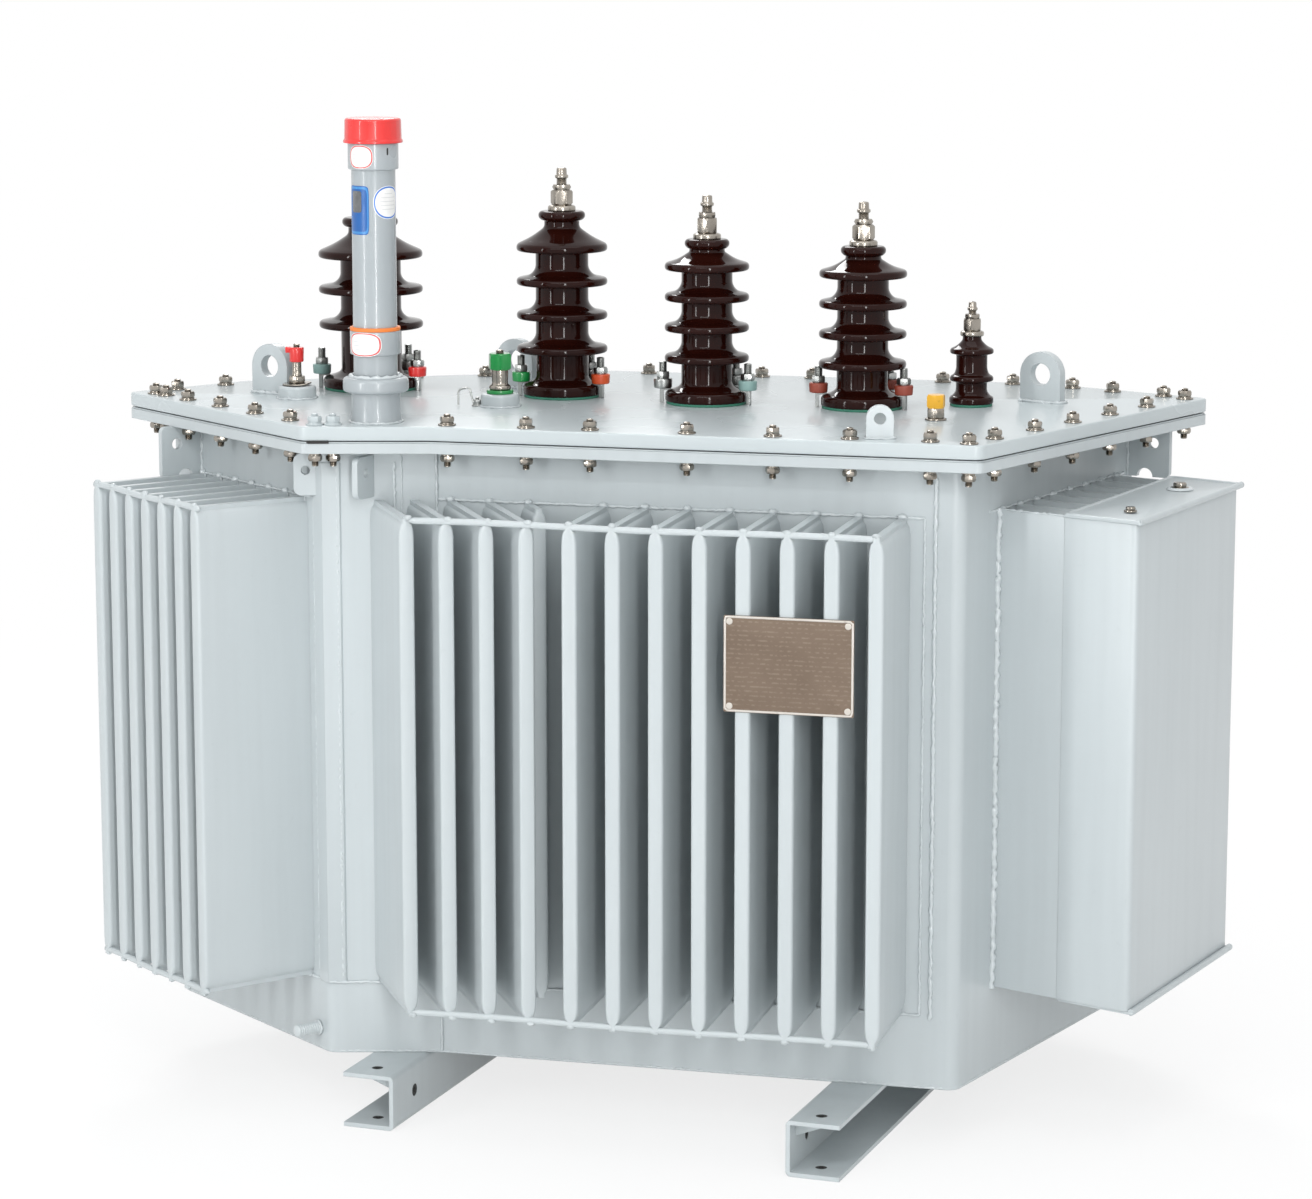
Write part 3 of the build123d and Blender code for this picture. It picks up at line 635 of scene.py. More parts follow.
def finRow(k, name, row):
    # one row of blades, its two bars with a drop of metal at each blade, and its beads
    edge, pitch, count, room = walls[row[0]], *row[1:]
    free = lengthOf(edge) - (count - 1) * pitch
    first = free / 2 if room is None else free - room
    last = first + (count - 1) * pitch
    spots = [first + i * pitch for i in range(count)]
    front, skewPitch = name == "front", skewValues["pitch"]
    blade = bladeShape(finValues, finValues["depth"], finTop - finBase)
    places = [wallPlace(edge, along) for along in spots]
    fins = [placed(blade, x, y, finBase, turn) for x, y, turn in places]
    finishedPiece(name + "_fins", fins, paint, 42, [name + "_radiator"])
    skewed = [skewPitch * (i + 1) for i in range(skewValues["count"] - 1)] if front else []
    overhang = barValues["frontOverhang" if front else "overhang"]
    bars, beads = [], []
    for z, side in ((finBase + barValues["inset"], -1), (finTop - barValues["inset"], 1)):
        bars.append(barShape(edge, first - max(skewed, default=0), last, z, overhang, barValues))
        for i, along in enumerate(spots + [first - gap for gap in skewed]):
            x, y, turn = wallPlace(edge, along, barValues["out"] + 1)
            lift = side * barValues["dropLift"]
            bars.append(blobShape(x, y, z + lift, *barValues["drop"], turn, 7 * k + i))
    roots = spots + ([first - skewLean - gap for gap in [0] + skewed] if front else [])
    start, end = max(min(roots) - beadValues["before"], 4), last + beadValues["after"]
    beads += wallBeads(edge, start, end, roots, finTop + 1, 11 * k + 1, beadValues)
    beads += wallBeads(edge, start, end, roots, finBase - 1, 11 * k + 3, beadValues)
    for along in (end,) if front else (first - beadValues["side"], last + beadValues["side"]):
        x, y, turn = wallPlace(edge, along, 0.6)
        beads.append(uprightWeld(x, y, finBase, finTop, 5.0, k + 60))
    return first, bars, beads


def finRows():
    # all four straight rows, with their bars as one piece
    firsts, bars, beads = {}, [], []
    for k, (name, row) in enumerate(rowValues.items()):
        firsts[name], rowBars, rowBeads = finRow(k, name, row)
        bars += rowBars
        beads += rowBeads
    names = [name + "_tie_bars" for name in ("left", "front", "back", "back_left")]
    finishedPiece("tie_bars", bars, paint, 50, names)
    return firsts["front"], beads


def skewedFins(v):
    # fins that fan towards the concave corner and share the front bar, the first one cut short behind it
    long = finValues["depth"] / math.cos(skewTurn) - v["noseGap"]
    short = (skewLean - v["lastGap"]) / math.sin(skewTurn) - v["lastCut"]
    fins = []
    for i in range(v["count"]):
        depth = long if i else short
        blade = bladeShape({**finValues, "root": v["root"]}, depth, finTop - finBase)
        x, y, turn = wallPlace(walls["front"], frontFirst - skewLean - i * v["pitch"])
        fins.append(placed(blade, x, y, finBase, turn + v["angle"]))
    finishedPiece("skewed_fins", fins, paint, 42, ["front_skew_radiator"])


frontFirst, finBeads = finRows()
skewedFins(skewValues)
print("fins, bars and their welds done")


# Right-hand fins that open into the oil box

boxValues = {"first": 133.0, "count": 8, "pitch": 60.0, "lean": 7.0, "raise": 20.0, "start": 118.0,
             "depth": 129.0, "turn": 10.0, "corner": 14.0, "cover": 8.0, "coverThick": 4.4, "lip": 7.0,
             "half": 10.0, "panel": 7, "finThick": 20.0, "nearFinThick": 15.0,
             "plugs": (((62, -72), 10, 7, 19), ((318, -8), 15, 9, 27))}


def oilBox(v):
    # drawn with X along the fins' roots and Y out of the tank reversed, then put on the right wall
    boxX, boxY, wallTurn = wallPlace(walls["right"], v["first"])
    lean, slope = math.radians(v["lean"]), math.tan(math.radians(v["turn"]))
    across, back = v["pitch"] * math.cos(lean), v["pitch"] * math.sin(lean)
    half, low, height = v["half"], v["raise"], finTop - finBase
    width = (v["count"] - 1) * across
    nearY, farY = -v["start"] - half * slope, -v["start"] + (width + half) * slope
    top = height + v["cover"]

    def put(shape):
        return placed(shape, boxX, boxY, finBase, wallTurn - v["lean"])

    def boxLine(side, e):
        # the box's outline, its near side and its outer edges moved out
        return [(-half - side, nearY - v["depth"] - e), (width + half + e, farY - v["depth"] - e),
                (width + half + e, farY), (-half - side, nearY)]

    def boxBody():
        inner = -half + v["panel"]
        body = slabShape(boxLine(0, 0), [v["corner"], v["corner"], 2, 0.2], low, height, 0.6)
        panelLine = [(-half, nearY + 0.3), (inner, nearY + 0.3), (inner, 6), (-half, 6)]
        panel = slabShape(panelLine, 0.2, low, height, 0.6)
        finishedPiece("oil_box", [put(body), put(panel)], paint, 42, ["right_oil_box"])

    def rightFins():
        # each blade long enough to meet the box's slanted face
        fins = []
        for i in range(v["count"]):
            thick = v["finThick"] if i else v["nearFinThick"]
            reach = v["start"] - i * across * slope + i * back + 2
            blade = bladeShape({**finValues, "thick": thick, "nose": 1.0, "root": 10}, reach, height - low)
            fins.append(put(placed(blade, i * across, i * back, low)))
        finishedPiece("right_fins", fins, paint, 42, ["right_radiator"])

    def boxCovers():
        # a plate above with a low lip round it, a plate below, and a rolled edge along the outside of each
        parts = []
        for z, side in ((height, 2.0), (low - v["coverThick"], -3.0)):
            edges = boxLine(side, v["lip"])
            parts.append(slabShape(edges, [5, 5, 1, 1], z, z + v["coverThick"], 0.8))
            if z == height:
                rim = insetLine(edges, 2.6)
                rim = resampled(rounded(np.vstack((rim, rim[:1])), 6, 4), 8)
                parts.append(tubeShape(level(rim, z + v["cover"] * 0.5), 2.9, 8))
            start, end = insetLine(edges, 5.0)[:2]
            d = (end - start) / np.linalg.norm(end - start)
            run = resampled(np.array([start - d * 3, end + d * 2]), 12)
            parts.append(tubeShape(level(run, z + v["cover"] * 0.45), 5.2, 12))
        finishedPiece("box_covers", [put(part) for part in parts], paint, 42,
                      ["right_box_covers"])

    def boxPlugs():
        plugs = []
        for (x, y), radius, thick, flats in v["plugs"]:
            washer = discShape(radius, 3, 0.5, 1, 2, 32)
            plugs.append(put(placed(washer, x, nearY + y, top - 2)))
            plugs.append(put(placed(nutShape(flats * 0.72, 0, thick - 2, 30), x, nearY + y, top + 1, 20)))
        finishedPiece("box_plugs", plugs, bronze, 30, ["right_box_plugs"])

    def boxWelds():
        # lumps at the roots, beads on the wall, the near side and the box, and a raised ring
        z, near = height + 1, -half
        beads = [blobShape(i * across, i * back - 3, z, *beadValues["lump"], 0, 300 + i)
                 for i in range(v["count"])]
        beads.append(weldShape([(-40, -5, z), (width + 30, (v["count"] - 1) * back + 3, z)], 5.5, 310))
        beads.append(uprightWeld(near - 2, -3, low - 3, height + 3, 12.0, 311, 5.0, 8))
        beads.append(weldShape([(near + 3, -4, z), (near + 3, nearY, z)], 5.0, 313))
        beads.append(weldShape([(near + 1, nearY + 1, z + 1), (width + half, farY + 1, z + 1)], 4.0, 312))
        ring = turnedShape([(0, 0), (22, 0), (19, 3.4), (0, 4.2)], 32, [0, 1, 1.5, 0], 3)
        beads.append(placed(ring, v["plugs"][1][0][0], nearY + v["plugs"][1][0][1], top - 3))
        finishedPiece("box_welds", [put(bead) for bead in beads], weldPaint, 60)

    boxBody()
    rightFins()
    boxCovers()
    boxPlugs()
    boxWelds()


oilBox(boxValues)
print("oil box done")


# Beads on the tank and its fittings, and the folded strips at the front left corner

# each lug on the lid: its place, turn, width and thickness
lugValues = {"lid": (((-380, 342), -19, 73, 17), ((-14, 518), -19, 73, 17), ((862, 546), -19, 73, 17),
                     ((698, 40), 15, 42, 8)),
             "left": 380, "right": 606, "height": 84, "half": 6}
tubeValues = {"place": (-99.0, 38.0), "radius": 34.0, "pipe": 38.0, "flange": 51.0, "flangeLow": 48.0,
              "flangeHigh": 71.0, "foot": 70.0, "top": 432.0, "upper": 392.0, "lower": 107.0, "band": 143.0,
              "collar": 39.0, "cap": 46.0, "capHigh": 470.0, "facing": -75.0, "flutes": 11,
              "fluteDepth": 0.022}
fittingValues = {"red": (-321, 294), "green": (30, 275), "yellow": (738, 280), "boss": 31.0}
drainValues = {"radius": 10.0, "length": 44.0, "height": 34.0, "inset": 34.0, "pitch": 4.0, "depth": 1.6}
stripValues = {"reach": (24, 26), "out": 2.6, "corner": (-1.2, -2.9), "inner": (2.475, 4.5), "above": 58}


def tankRing(inset, z, width, seed):
    # a bead all round the tank
    line = rounded(insetLine(tankOutline, inset), 22, 5, True)
    return weldShape(level(line, z, True), width, seed)


def lugBeads(v):
    # a loop round the foot of each lug on the lid, and two beads down each lug on the tank
    beads = []
    for (x, y), turn, wide, thick in v["lid"]:
        w, t = wide / 2 + 2, thick / 2 + 2
        foot = rounded([(-w, -t), (w, -t), (w, t), (-w, t)], 4, 4, True)
        bead = weldShape(level(foot, 1.5, True), 7.0 if thick > 10 else 5.0, wide + x % 7)
        beads.append(placed(bead, x, y, lidTop, turn))
    top = unit["flangeBase"]
    for wall, along in (("left", leftLength - v["left"]), ("right", v["right"])):
        for side in (-v["half"], v["half"]):
            x, y, turn = wallPlace(walls[wall], along + side, 1)
            beads.append(uprightWeld(x, y, top - v["height"], top - 4, 6.0, side + 20))
    return beads


def fittingBeads():
    # rings round the gauge pipe's foot and flange, the two bosses and the drain stub
    tube, drain = tubeValues["place"], drainValues
    beads = [weldShape(ringPath(*tube, lidTop + 1.5, 40.5, 60), 5.0, 88),
             weldShape(ringPath(*tube, lidTop + 72, 38.5, 60), 8.5, 89, spacing=5.0, sides=8)]
    beads += [weldShape(ringPath(*fittingValues[name], lidTop + 1, 32, 50), 4.5, 90)
              for name in ("red", "green")]
    x, y, turn = wallPlace(walls["left"], leftLength - drain["inset"], 2)
    ring = tipped(weldShape(ringPath(0, 0, 0, drain["radius"] + 1, 30), 5.0, 91))
    return beads + [placed(ring, x, y, unit["wallFoot"] + drain["height"], turn)]


def cornerStrips(v):
    # two folded strips that meet in one sharp corner
    corner = frontLeft + v["corner"]
    ends = [np.array(wallPlace(walls["left"], leftLength - v["reach"][0], v["out"])[:2]), corner,
            np.array(wallPlace(walls["face"], v["reach"][1], v["out"])[:2])]
    inner = np.array(v["inner"])
    strips = [slabShape([a, b, b + inner, a + inner], 0.3, finBase - 3, finTop + v["above"], 0.5, 3)
              for a, b in zip(ends, ends[1:])]
    finishedPiece("corner_strips", strips, paint, 25)


def tankWelds():
    top, foot = unit["flangeBase"], unit["wallFoot"]
    left, face = walls["left"], walls["face"]
    beads = finBeads + [tankRing(-1.5, top - 1.5, 6.0, 5)]
    beads.append(uprightWeld(*(notch + (1, -1.5)), foot + 4, top - 3, 5.0, 50))
    beads.append(uprightWeld(*(notch + (-52, -14)), finBase, top - 3, 3.6, 36))
    x, y, turn = wallPlace(walls["front"], frontLength - 41, 1.6)
    beads.append(uprightWeld(x, y, finBase - 6, finTop + 64, 7.5, 77, 5.0, 8))
    beads += lugBeads(lugValues) + fittingBeads()
    z = finBase - 2
    corner = [wallSpot(left, leftLength - 26, 1, z), (*(frontLeft + (3, -1.5)), z), wallSpot(face, 60, 1, z),
              wallSpot(face, 172, 1, z)]
    beads.append(weldShape(corner, 5.0, 95))
    for along in (22, 112):
        x, y, turn = wallPlace(face, along, 0.6)
        beads.append(uprightWeld(x, y, finBase, finTop + 60, 5.5, along))
    cornerStrips(stripValues)
    beads.append(tankRing(1, foot + 2.5, 4.5, 6))
    finishedPiece("weld_beads", beads, weldPaint, 60)


tankWelds()
print("welds done")


# Bushings, their terminals, seals and clamps

tallValues = {"rim": 20.0, "lip": 7.5, "slope": 15.0, "sides": 72, "seatSides": 60}
bushingValues = [
    {"place": (-246, 452), "foot": 80, "core": 50, "shed": 86, "first": 109, "pitch": 58, "sheds": 3,
     "neck": 36, "collar": 46, "neckHeight": 45},
    {"place": (90, 428), "foot": 64, "core": 43, "shed": 74, "first": 80, "pitch": 55, "sheds": 4,
     "neck": 28.5, "collar": 38, "neckHeight": 44},
    {"place": (340, 400), "foot": 67, "core": 41, "shed": 68, "first": 75, "pitch": 49, "sheds": 4,
     "neck": 28.5, "collar": 36, "neckHeight": 29},
    {"place": (595, 403), "foot": 66, "core": 41, "shed": 70, "first": 72, "pitch": 48, "sheds": 4,
     "neck": 28.5, "collar": 36, "neckHeight": 29},
]
neutralValues = {"place": (759, 473), "foot": 35.5, "core": 25, "shed": 35.0, "first": 45, "pitch": 44,
                 "sheds": 2, "neck": 15, "collar": 15, "neckHeight": 24, "rim": 14, "lip": 5.0, "slope": 11.0,
                 "sides": 56, "seatSides": 40}
terminalValues = {"washer": 22.5, "flats": 31.0, "thick": 24.0, "stud": 8.5, "rise": 71.0, "scale": 1.0}
neutralTerminal = {"washer": 19.0, "flats": 27.0, "thick": 19.0, "stud": 6.5, "tip": 168.0, "scale": 0.82}
clampValues = {"angles": (-8, 188, 62), "reach": 4.0, "ring": 14.5, "ringLow": 23.5, "ringHigh": 39.5,
               "flats": 20.0, "nut": 11, "stud": 6.6, "tip": 67.0}
clampTints = [("redPlastic", "tealPlastic", "zinc"), ("vermilion", "greenPlastic", "zinc"),
              ("tealPlastic", "zinc", "zinc"), ("terracotta", "terracotta", "terracotta")]


def insulatorShape(v):
    # half profile: foot, waisted core, each shed a thick rounded lip under a hollowed slope, neck and collar
    foot, rim, core, shed, neck, lip = (v[key] for key in ("foot", "rim", "core", "shed", "neck", "lip"))
    points = [(0, 4), (foot, 4), (foot, rim), (core + (foot - core) * 0.45, rim + 3.5), (core, rim + 10)]
    radii = [0, 3, 7, 8, 6]
    for i in range(v["sheds"]):
        z = v["first"] + i * v["pitch"]
        above, rise, bulge, bend = core, v["slope"], 0.28, 7
        if i == v["sheds"] - 1:
            above, rise, bulge, bend = neck, min(v["slope"] + 12, v["neckHeight"] - 11), 0.45, 10
        hollow = (above + (shed - above) * bulge, z + lip * 0.5 + (rise - lip) * 0.62)
        points += [(core, z - lip), (shed, z - lip), (shed, z + lip * 0.5), hollow, (above, z + rise + 4)]
        radii += [5, 7.5, 7, 14, bend]
    top = v["first"] + (v["sheds"] - 1) * v["pitch"] + v["neckHeight"]
    if v["collar"] == neck:
        return turnedShape(points + [(neck, top), (0, top)], v["sides"], radii + [2, 0], 6), top
    collar = v["collar"]
    points += [(neck, top - 2), (collar - 4.5, top - 1.5), (collar, top + 3), (collar, top + 9.5),
               (collar - 4, top + 13.5), (0, top + 13)]
    return turnedShape(points, v["sides"], radii + [4, 3.5, 4, 4, 3.5, 0], 6), top + 13


def terminalShape(base, tip, v):
    # turned washer, long nut, thin nut, plain stud, small ring and a reduced tip
    scale, washer, flats, stud = v["scale"], v["washer"], v["flats"], v["stud"]
    seat = base + 11 * scale
    nutTop = seat + v["thick"]
    ring = tip - 13 * scale
    washerLine = [(0, base), (washer, base), (washer, base + 9 * scale), (washer - 5, seat), (0, seat)]
    tipLine = [(0, ring - 6), (stud * 1.28, ring - 5 * scale), (stud * 1.28, ring), (stud, ring + 1),
               (stud * 0.95, tip - 1.5), (0, tip)]
    return joined([turnedShape(washerLine, 40, [0, 3, 3, 1, 0], 4),
                   nutShape(flats, seat, nutTop, 36, 0.09),
                   nutShape(flats * 0.86, nutTop + 0.5, nutTop + 9 * scale, 36, 0.16),
                   turnedShape(threadProfile(stud, nutTop, tip - 12 * scale, 2.0, 0.8), 24),
                   turnedShape(tipLine, 28, [0, 2, 2, 1, 2, 0], 3)])


def bushingPieces():
    short, shortTop = insulatorShape(neutralValues)
    glazed, posts, seats = [placed(short, *neutralValues["place"], lidTop)], [], []
    for i, values in enumerate(bushingValues):
        tall, top = insulatorShape({**tallValues, **values})
        glazed.append(placed(tall, *values["place"], lidTop))
        post = terminalShape(top - 1, top + terminalValues["rise"], terminalValues)
        posts.append(placed(post, *values["place"], lidTop, 12 + 31 * i))
    post = terminalShape(shortTop - 1, neutralTerminal["tip"], neutralTerminal)
    posts.append(placed(post, *neutralValues["place"], lidTop, 8))
    for values in [{**tallValues, **one} for one in bushingValues] + [neutralValues]:
        seat = discShape(values["foot"] - 1.5, 4.5, 1.2, 1.2, 3, values["seatSides"])
        seats.append(placed(seat, *values["place"], lidTop))
    finishedPiece("porcelain_sheds", glazed, finishes["porcelain"], 60, ["bushings"])
    finishedPiece("terminal_posts", posts, bronze, 35, ["bushing_terminals"])
    finishedPiece("seal_rings", seats, finishes["greenRubber"], 35, ["bushing_gaskets"])


def fingerShape():
    # a bent finger that grips the foot's edge: its side outline repeated across, drawn in at both sides
    line = rounded([(-9, 20.4), (-9, 25), (9, 25), (9, 0), (3, 0), (3, 18), (1, 20.4)], 1.5, 3, True)
    rows = np.array([np.column_stack((line[:, 0], np.full(len(line), w), line[:, 1]))
                     for w in (-4.2, -3.4, 3.4, 4.2)])
    middle = line[:, 0].mean()
    rows[[0, 3], :, 0] = middle + (rows[[0, 3], :, 0] - middle) * 0.97
    ends = rows[[0, 3]]
    ends[:, :, 0] = 5.0
    ends[:, :, 2] = 22.5
    return capped(rows, ends)


def clampPieces(v):
    # a finger over the foot's edge, a coloured sleeve, a nut and a domed stud
    metal, sleeves = [], {}
    low, high, wide = v["ringLow"], v["ringHigh"], v["ring"]
    finger = fingerShape()
    ring = turnedShape([(0, low), (wide, low), (wide + 1, high), (0, high)], 20, [0, 2, 3, 0], 3)
    nut = nutShape(v["flats"], high, high + v["nut"], 24)
    stud = turnedShape(threadProfile(v["stud"], high + 10, v["tip"]), 16)
    for bushing, tints in zip(bushingValues, clampTints):
        x, y = bushing["place"]
        for angle, tint in zip(v["angles"], tints):
            c, s = math.cos(math.radians(angle)), math.sin(math.radians(angle))
            foot = bushing["foot"]
            metal.append(placed(finger, x + foot * c, y + foot * s, lidTop, angle))
            foot += v["reach"]
            for shape, bag in ((ring, sleeves.setdefault(tint, [])), (nut, metal), (stud, metal)):
                bag.append(placed(shape, x + foot * c, y + foot * s, lidTop, angle * 2))
    finishedPiece("clamp_studs", metal, zinc, 35, ["bushing_clamps"])
    for tint, shapes in sleeves.items():
        finishedPiece("clamp_sleeves_" + tint, shapes, finishes[tint])


bushingPieces()
clampPieces(clampValues)
print("bushings and clamps done")


# Gauge tube, its cap and its patches

def labelMaterial(name, paper, border, lines=0.45):
    # the patch's own u runs from its middle outwards, so a ring of one width follows its edge
    material, tree, shader = newMaterial(name)
    uv = node(tree, "ShaderNodeUVMap", uv_map="patch").outputs[0]
    u = node(tree, "ShaderNodeSeparateXYZ", {"Vector": uv}).outputs[0]
    inside = mathNode(tree, "SUBTRACT", 1.0, spread(tree, u, 0.95, 0.97))
    rim = mathNode(tree, "MULTIPLY", spread(tree, u, 0.86, 0.88), inside)
    place = objectPlace(tree)
    smudge = noiseNode(tree, place, 60, 4)
    dull = spread(tree, smudge, 0.45, 0.75)
    height = node(tree, "ShaderNodeSeparateXYZ", {"Vector": place}).outputs[2]
    rows = mathNode(tree, "SINE", mathNode(tree, "MULTIPLY", height, 1050.0))
    line = mathNode(tree, "MULTIPLY", spread(tree, rows, 0.80, 0.95), mathNode(tree, "LESS_THAN", u, 0.60))
    colour = mixColour(tree, dull, paper, tuple(0.86 * c for c in paper), 0.6)
    colour = mixColour(tree, line, colour, (0.35, 0.37, 0.40), lines)
    tree.links.new(mixColour(tree, rim, colour, border), shader.inputs["Base Color"])
    tree.links.new(scaledSum(tree, dull, 0.2, 0.28), shader.inputs["Roughness"])
    addBump(tree, shader, smudge, 0.15, 0.0004)
    return material


def patchPiece(name, radius, angle, z, wide, high, material, power, lift=0.35):
    # a patch bent round the tube: rings of |a|^n + |b|^n = r^n, n = 2 an oval, larger a rounded rectangle
    v = tubeValues
    r = np.linspace(0, 1, 9)[:, None]
    t = np.linspace(0, 2 * np.pi, 56, endpoint=False)[None]
    c, s = np.cos(t), np.sin(t)
    k = (np.abs(c) ** power + np.abs(s) ** power) ** (-1 / power)
    a, b = r * k * c * wide / 2, r * k * s * high / 2
    facing = math.radians(v["facing"] + angle)
    spin = facing + a / radius
    outer = np.stack(((radius + lift) * np.cos(spin), (radius + lift) * np.sin(spin), z + b), -1)
    sunk = radius - 0.4
    inner = np.stack((sunk * np.cos(spin[-1]), sunk * np.sin(spin[-1]), z + b[-1]), -1)[None]
    skirt = gridShape(np.concatenate((outer[-1:], inner)))
    shapes = [placed(shape, *v["place"], lidTop) for shape in (gridShape(outer), skirt)]
    mesh = finishedPiece(name, shapes, material, 50).data
    # its map: u is r worked back from each point, v the height in the patch
    uv = mesh.uv_layers.new(name="patch")
    corner = np.zeros(len(mesh.loops), np.int32)
    mesh.loops.foreach_get("vertex_index", corner)
    co = np.zeros(len(mesh.vertices) * 3)
    mesh.vertices.foreach_get("co", co)
    centre = toFrame(np.array([[*v["place"], lidTop + z]]))[0]
    rel = (co.reshape(-1, 3) - centre) * 1000
    spinAt = np.arctan2(rel[:, 1], rel[:, 0]) - facing - unit["turn"]
    spinAt = (spinAt + np.pi) % (2 * np.pi) - np.pi
    away = np.abs(spinAt * radius / (wide / 2)) ** power + np.abs(rel[:, 2] / (high / 2)) ** power
    spots = np.column_stack((away ** (1 / power), rel[:, 2] / high + 0.5))
    uv.data.foreach_set("uv", spots[corner].astype(np.float32).ravel())


def gaugeTube(v):
    # a pipe with a rounded flange, and the tube with its foot, lower and upper collars
    foot, radius, collar, high = v["pipe"], v["radius"], v["collar"], v["flangeHigh"]
    pipe = turnedShape([(0, 0), (foot + 2.5, 0), (foot, 16), (foot, v["flangeLow"]),
                        (v["flange"], v["flangeLow"]), (v["flange"], high), (0, high)],
                       80, [0, 1, 12, 3, 7, 8, 0], 6)
    tube = turnedShape([(0, v["foot"]), (radius, v["foot"]), (radius, v["lower"] - 1), (collar, v["lower"]),
                        (collar, v["band"]), (radius, v["band"] + 1), (radius, v["upper"] - 1),
                        (collar, v["upper"]), (collar, v["top"]), (0, v["top"])],
                       80, [0, 0, 0.6, 1.5, 1.5, 0.6, 0.6, 1.5, 1.5, 0], 4)
    shapes = [placed(shape, *v["place"], lidTop) for shape in (pipe, tube)]
    finishedPiece("gauge_pipe", shapes, finishes["tubePaint"], 32, ["gauge_tube"])
    low, outer = v["band"], collar + 0.2
    band = turnedShape([(30, low), (outer, low), (outer, low + 6), (30, low + 6), (30, low)],
                       64, [0, 1.8, 1.8, 0, 0], 4)
    finishedPiece("tube_band", placed(band, *v["place"], lidTop), finishes["orangeRubber"])


def tubeCap(v):
    # a soft-edged drum over a thin flared rim, its side pressed into flats: r (1 - d |sin(n t)|^0.6)
    low, high, rim = v["top"], v["capHigh"], v["cap"]
    points = [(0, high), (rim - 2.5, high), (rim - 1.8, low + 6), (rim, low + 3.5), (rim, low + 0.2),
              (0, low + 0.2)]
    profile = rounded(points, [0, 5.5, 2, 1.5, 1, 0], 7)
    t = np.linspace(0, 2 * np.pi, 180, endpoint=False)[None]
    r, z = profile[:, 0:1], profile[:, 1:2]
    pressed = np.clip((z - low - 6) / 5, 0, 1) * np.clip((high - 4 - z) / 4, 0, 1)
    wave = 1 - v["fluteDepth"] * pressed * np.abs(np.sin(t * v["flutes"])) ** 0.6
    cap = gridShape(np.stack((r * wave * np.cos(t), r * wave * np.sin(t), z + 0 * t), -1))
    finishedPiece("tube_cap", [placed(cap, *v["place"], lidTop)], finishes["redPlastic"], 25,
                  ["gauge_cap"])


def tubePatches(v):
    # bare patches, a sight window and a black patch painted as the shade in a vent slot: angle from the
    # front, height, width, height of the patch and its power
    white = (0.80, 0.80, 0.79)
    redEdge = labelMaterial("label_red_edge", white, (0.62, 0.06, 0.06))
    blueEdge = labelMaterial("label_blue_edge", white, (0.03, 0.16, 0.55))
    blueSheet = labelMaterial("label_blue", (0.010, 0.105, 0.36), (0.05, 0.24, 0.55), lines=0.0)
    patchPiece("upper_label", v["collar"], -28, 412, 43, 36, redEdge, 2.6)
    patchPiece("tube_label", v["radius"], 46, 342, 52, 51, blueEdge, 2.2)
    patchPiece("lower_label", v["collar"], -26, 124, 60, 37, redEdge, 2.8)
    patchPiece("gauge_label", v["radius"], -44, 330, 42, 75, blueSheet, 9.0)
    patchPiece("gauge_window", v["radius"], -46, 343, 20, 33, finishes["darkGlass"], 8.0, 0.8)
    # the vent slot is a thin black patch in the black rubber finish, painted shade in place of an opening
    patchPiece("vent_slot", v["collar"], 38, 420, 3.0, 11, finishes["blackRubber"], 5.0, 0.12)


gaugeTube(tubeValues)
tubeCap(tubeValues)
tubePatches(tubeValues)
print("gauge tube done")


# Small capped fittings, the wire clip and the drain stub

clipValues = {"place": (-22.0, 262.0), "wire": 1.6, "bolt": (16, 6)}
clipBolt = {**boltValues, "washer": 9.0, "flats": 12.0, "nut": 6.0, "stud": 3.5}


def crookedWasher():
    # a tilted, slightly wavy disc: z + 0.055 r cos(t - 0.6) + 0.012 r cos(3 t)
    t = np.linspace(0, 2 * np.pi, 40, endpoint=False)[None]
    rows = np.array([(0, 0.0), (23, 0.0), (24, 1.2), (23, 2.4), (0, 2.4)])
    r, z = rows[:, 0:1], rows[:, 1:2]
    z = z + 22.2 + r * 0.055 * np.cos(t - 0.6) + 0.012 * r * np.cos(3 * t)
    return gridShape(np.stack((r * np.cos(t), r * np.sin(t), z), -1))


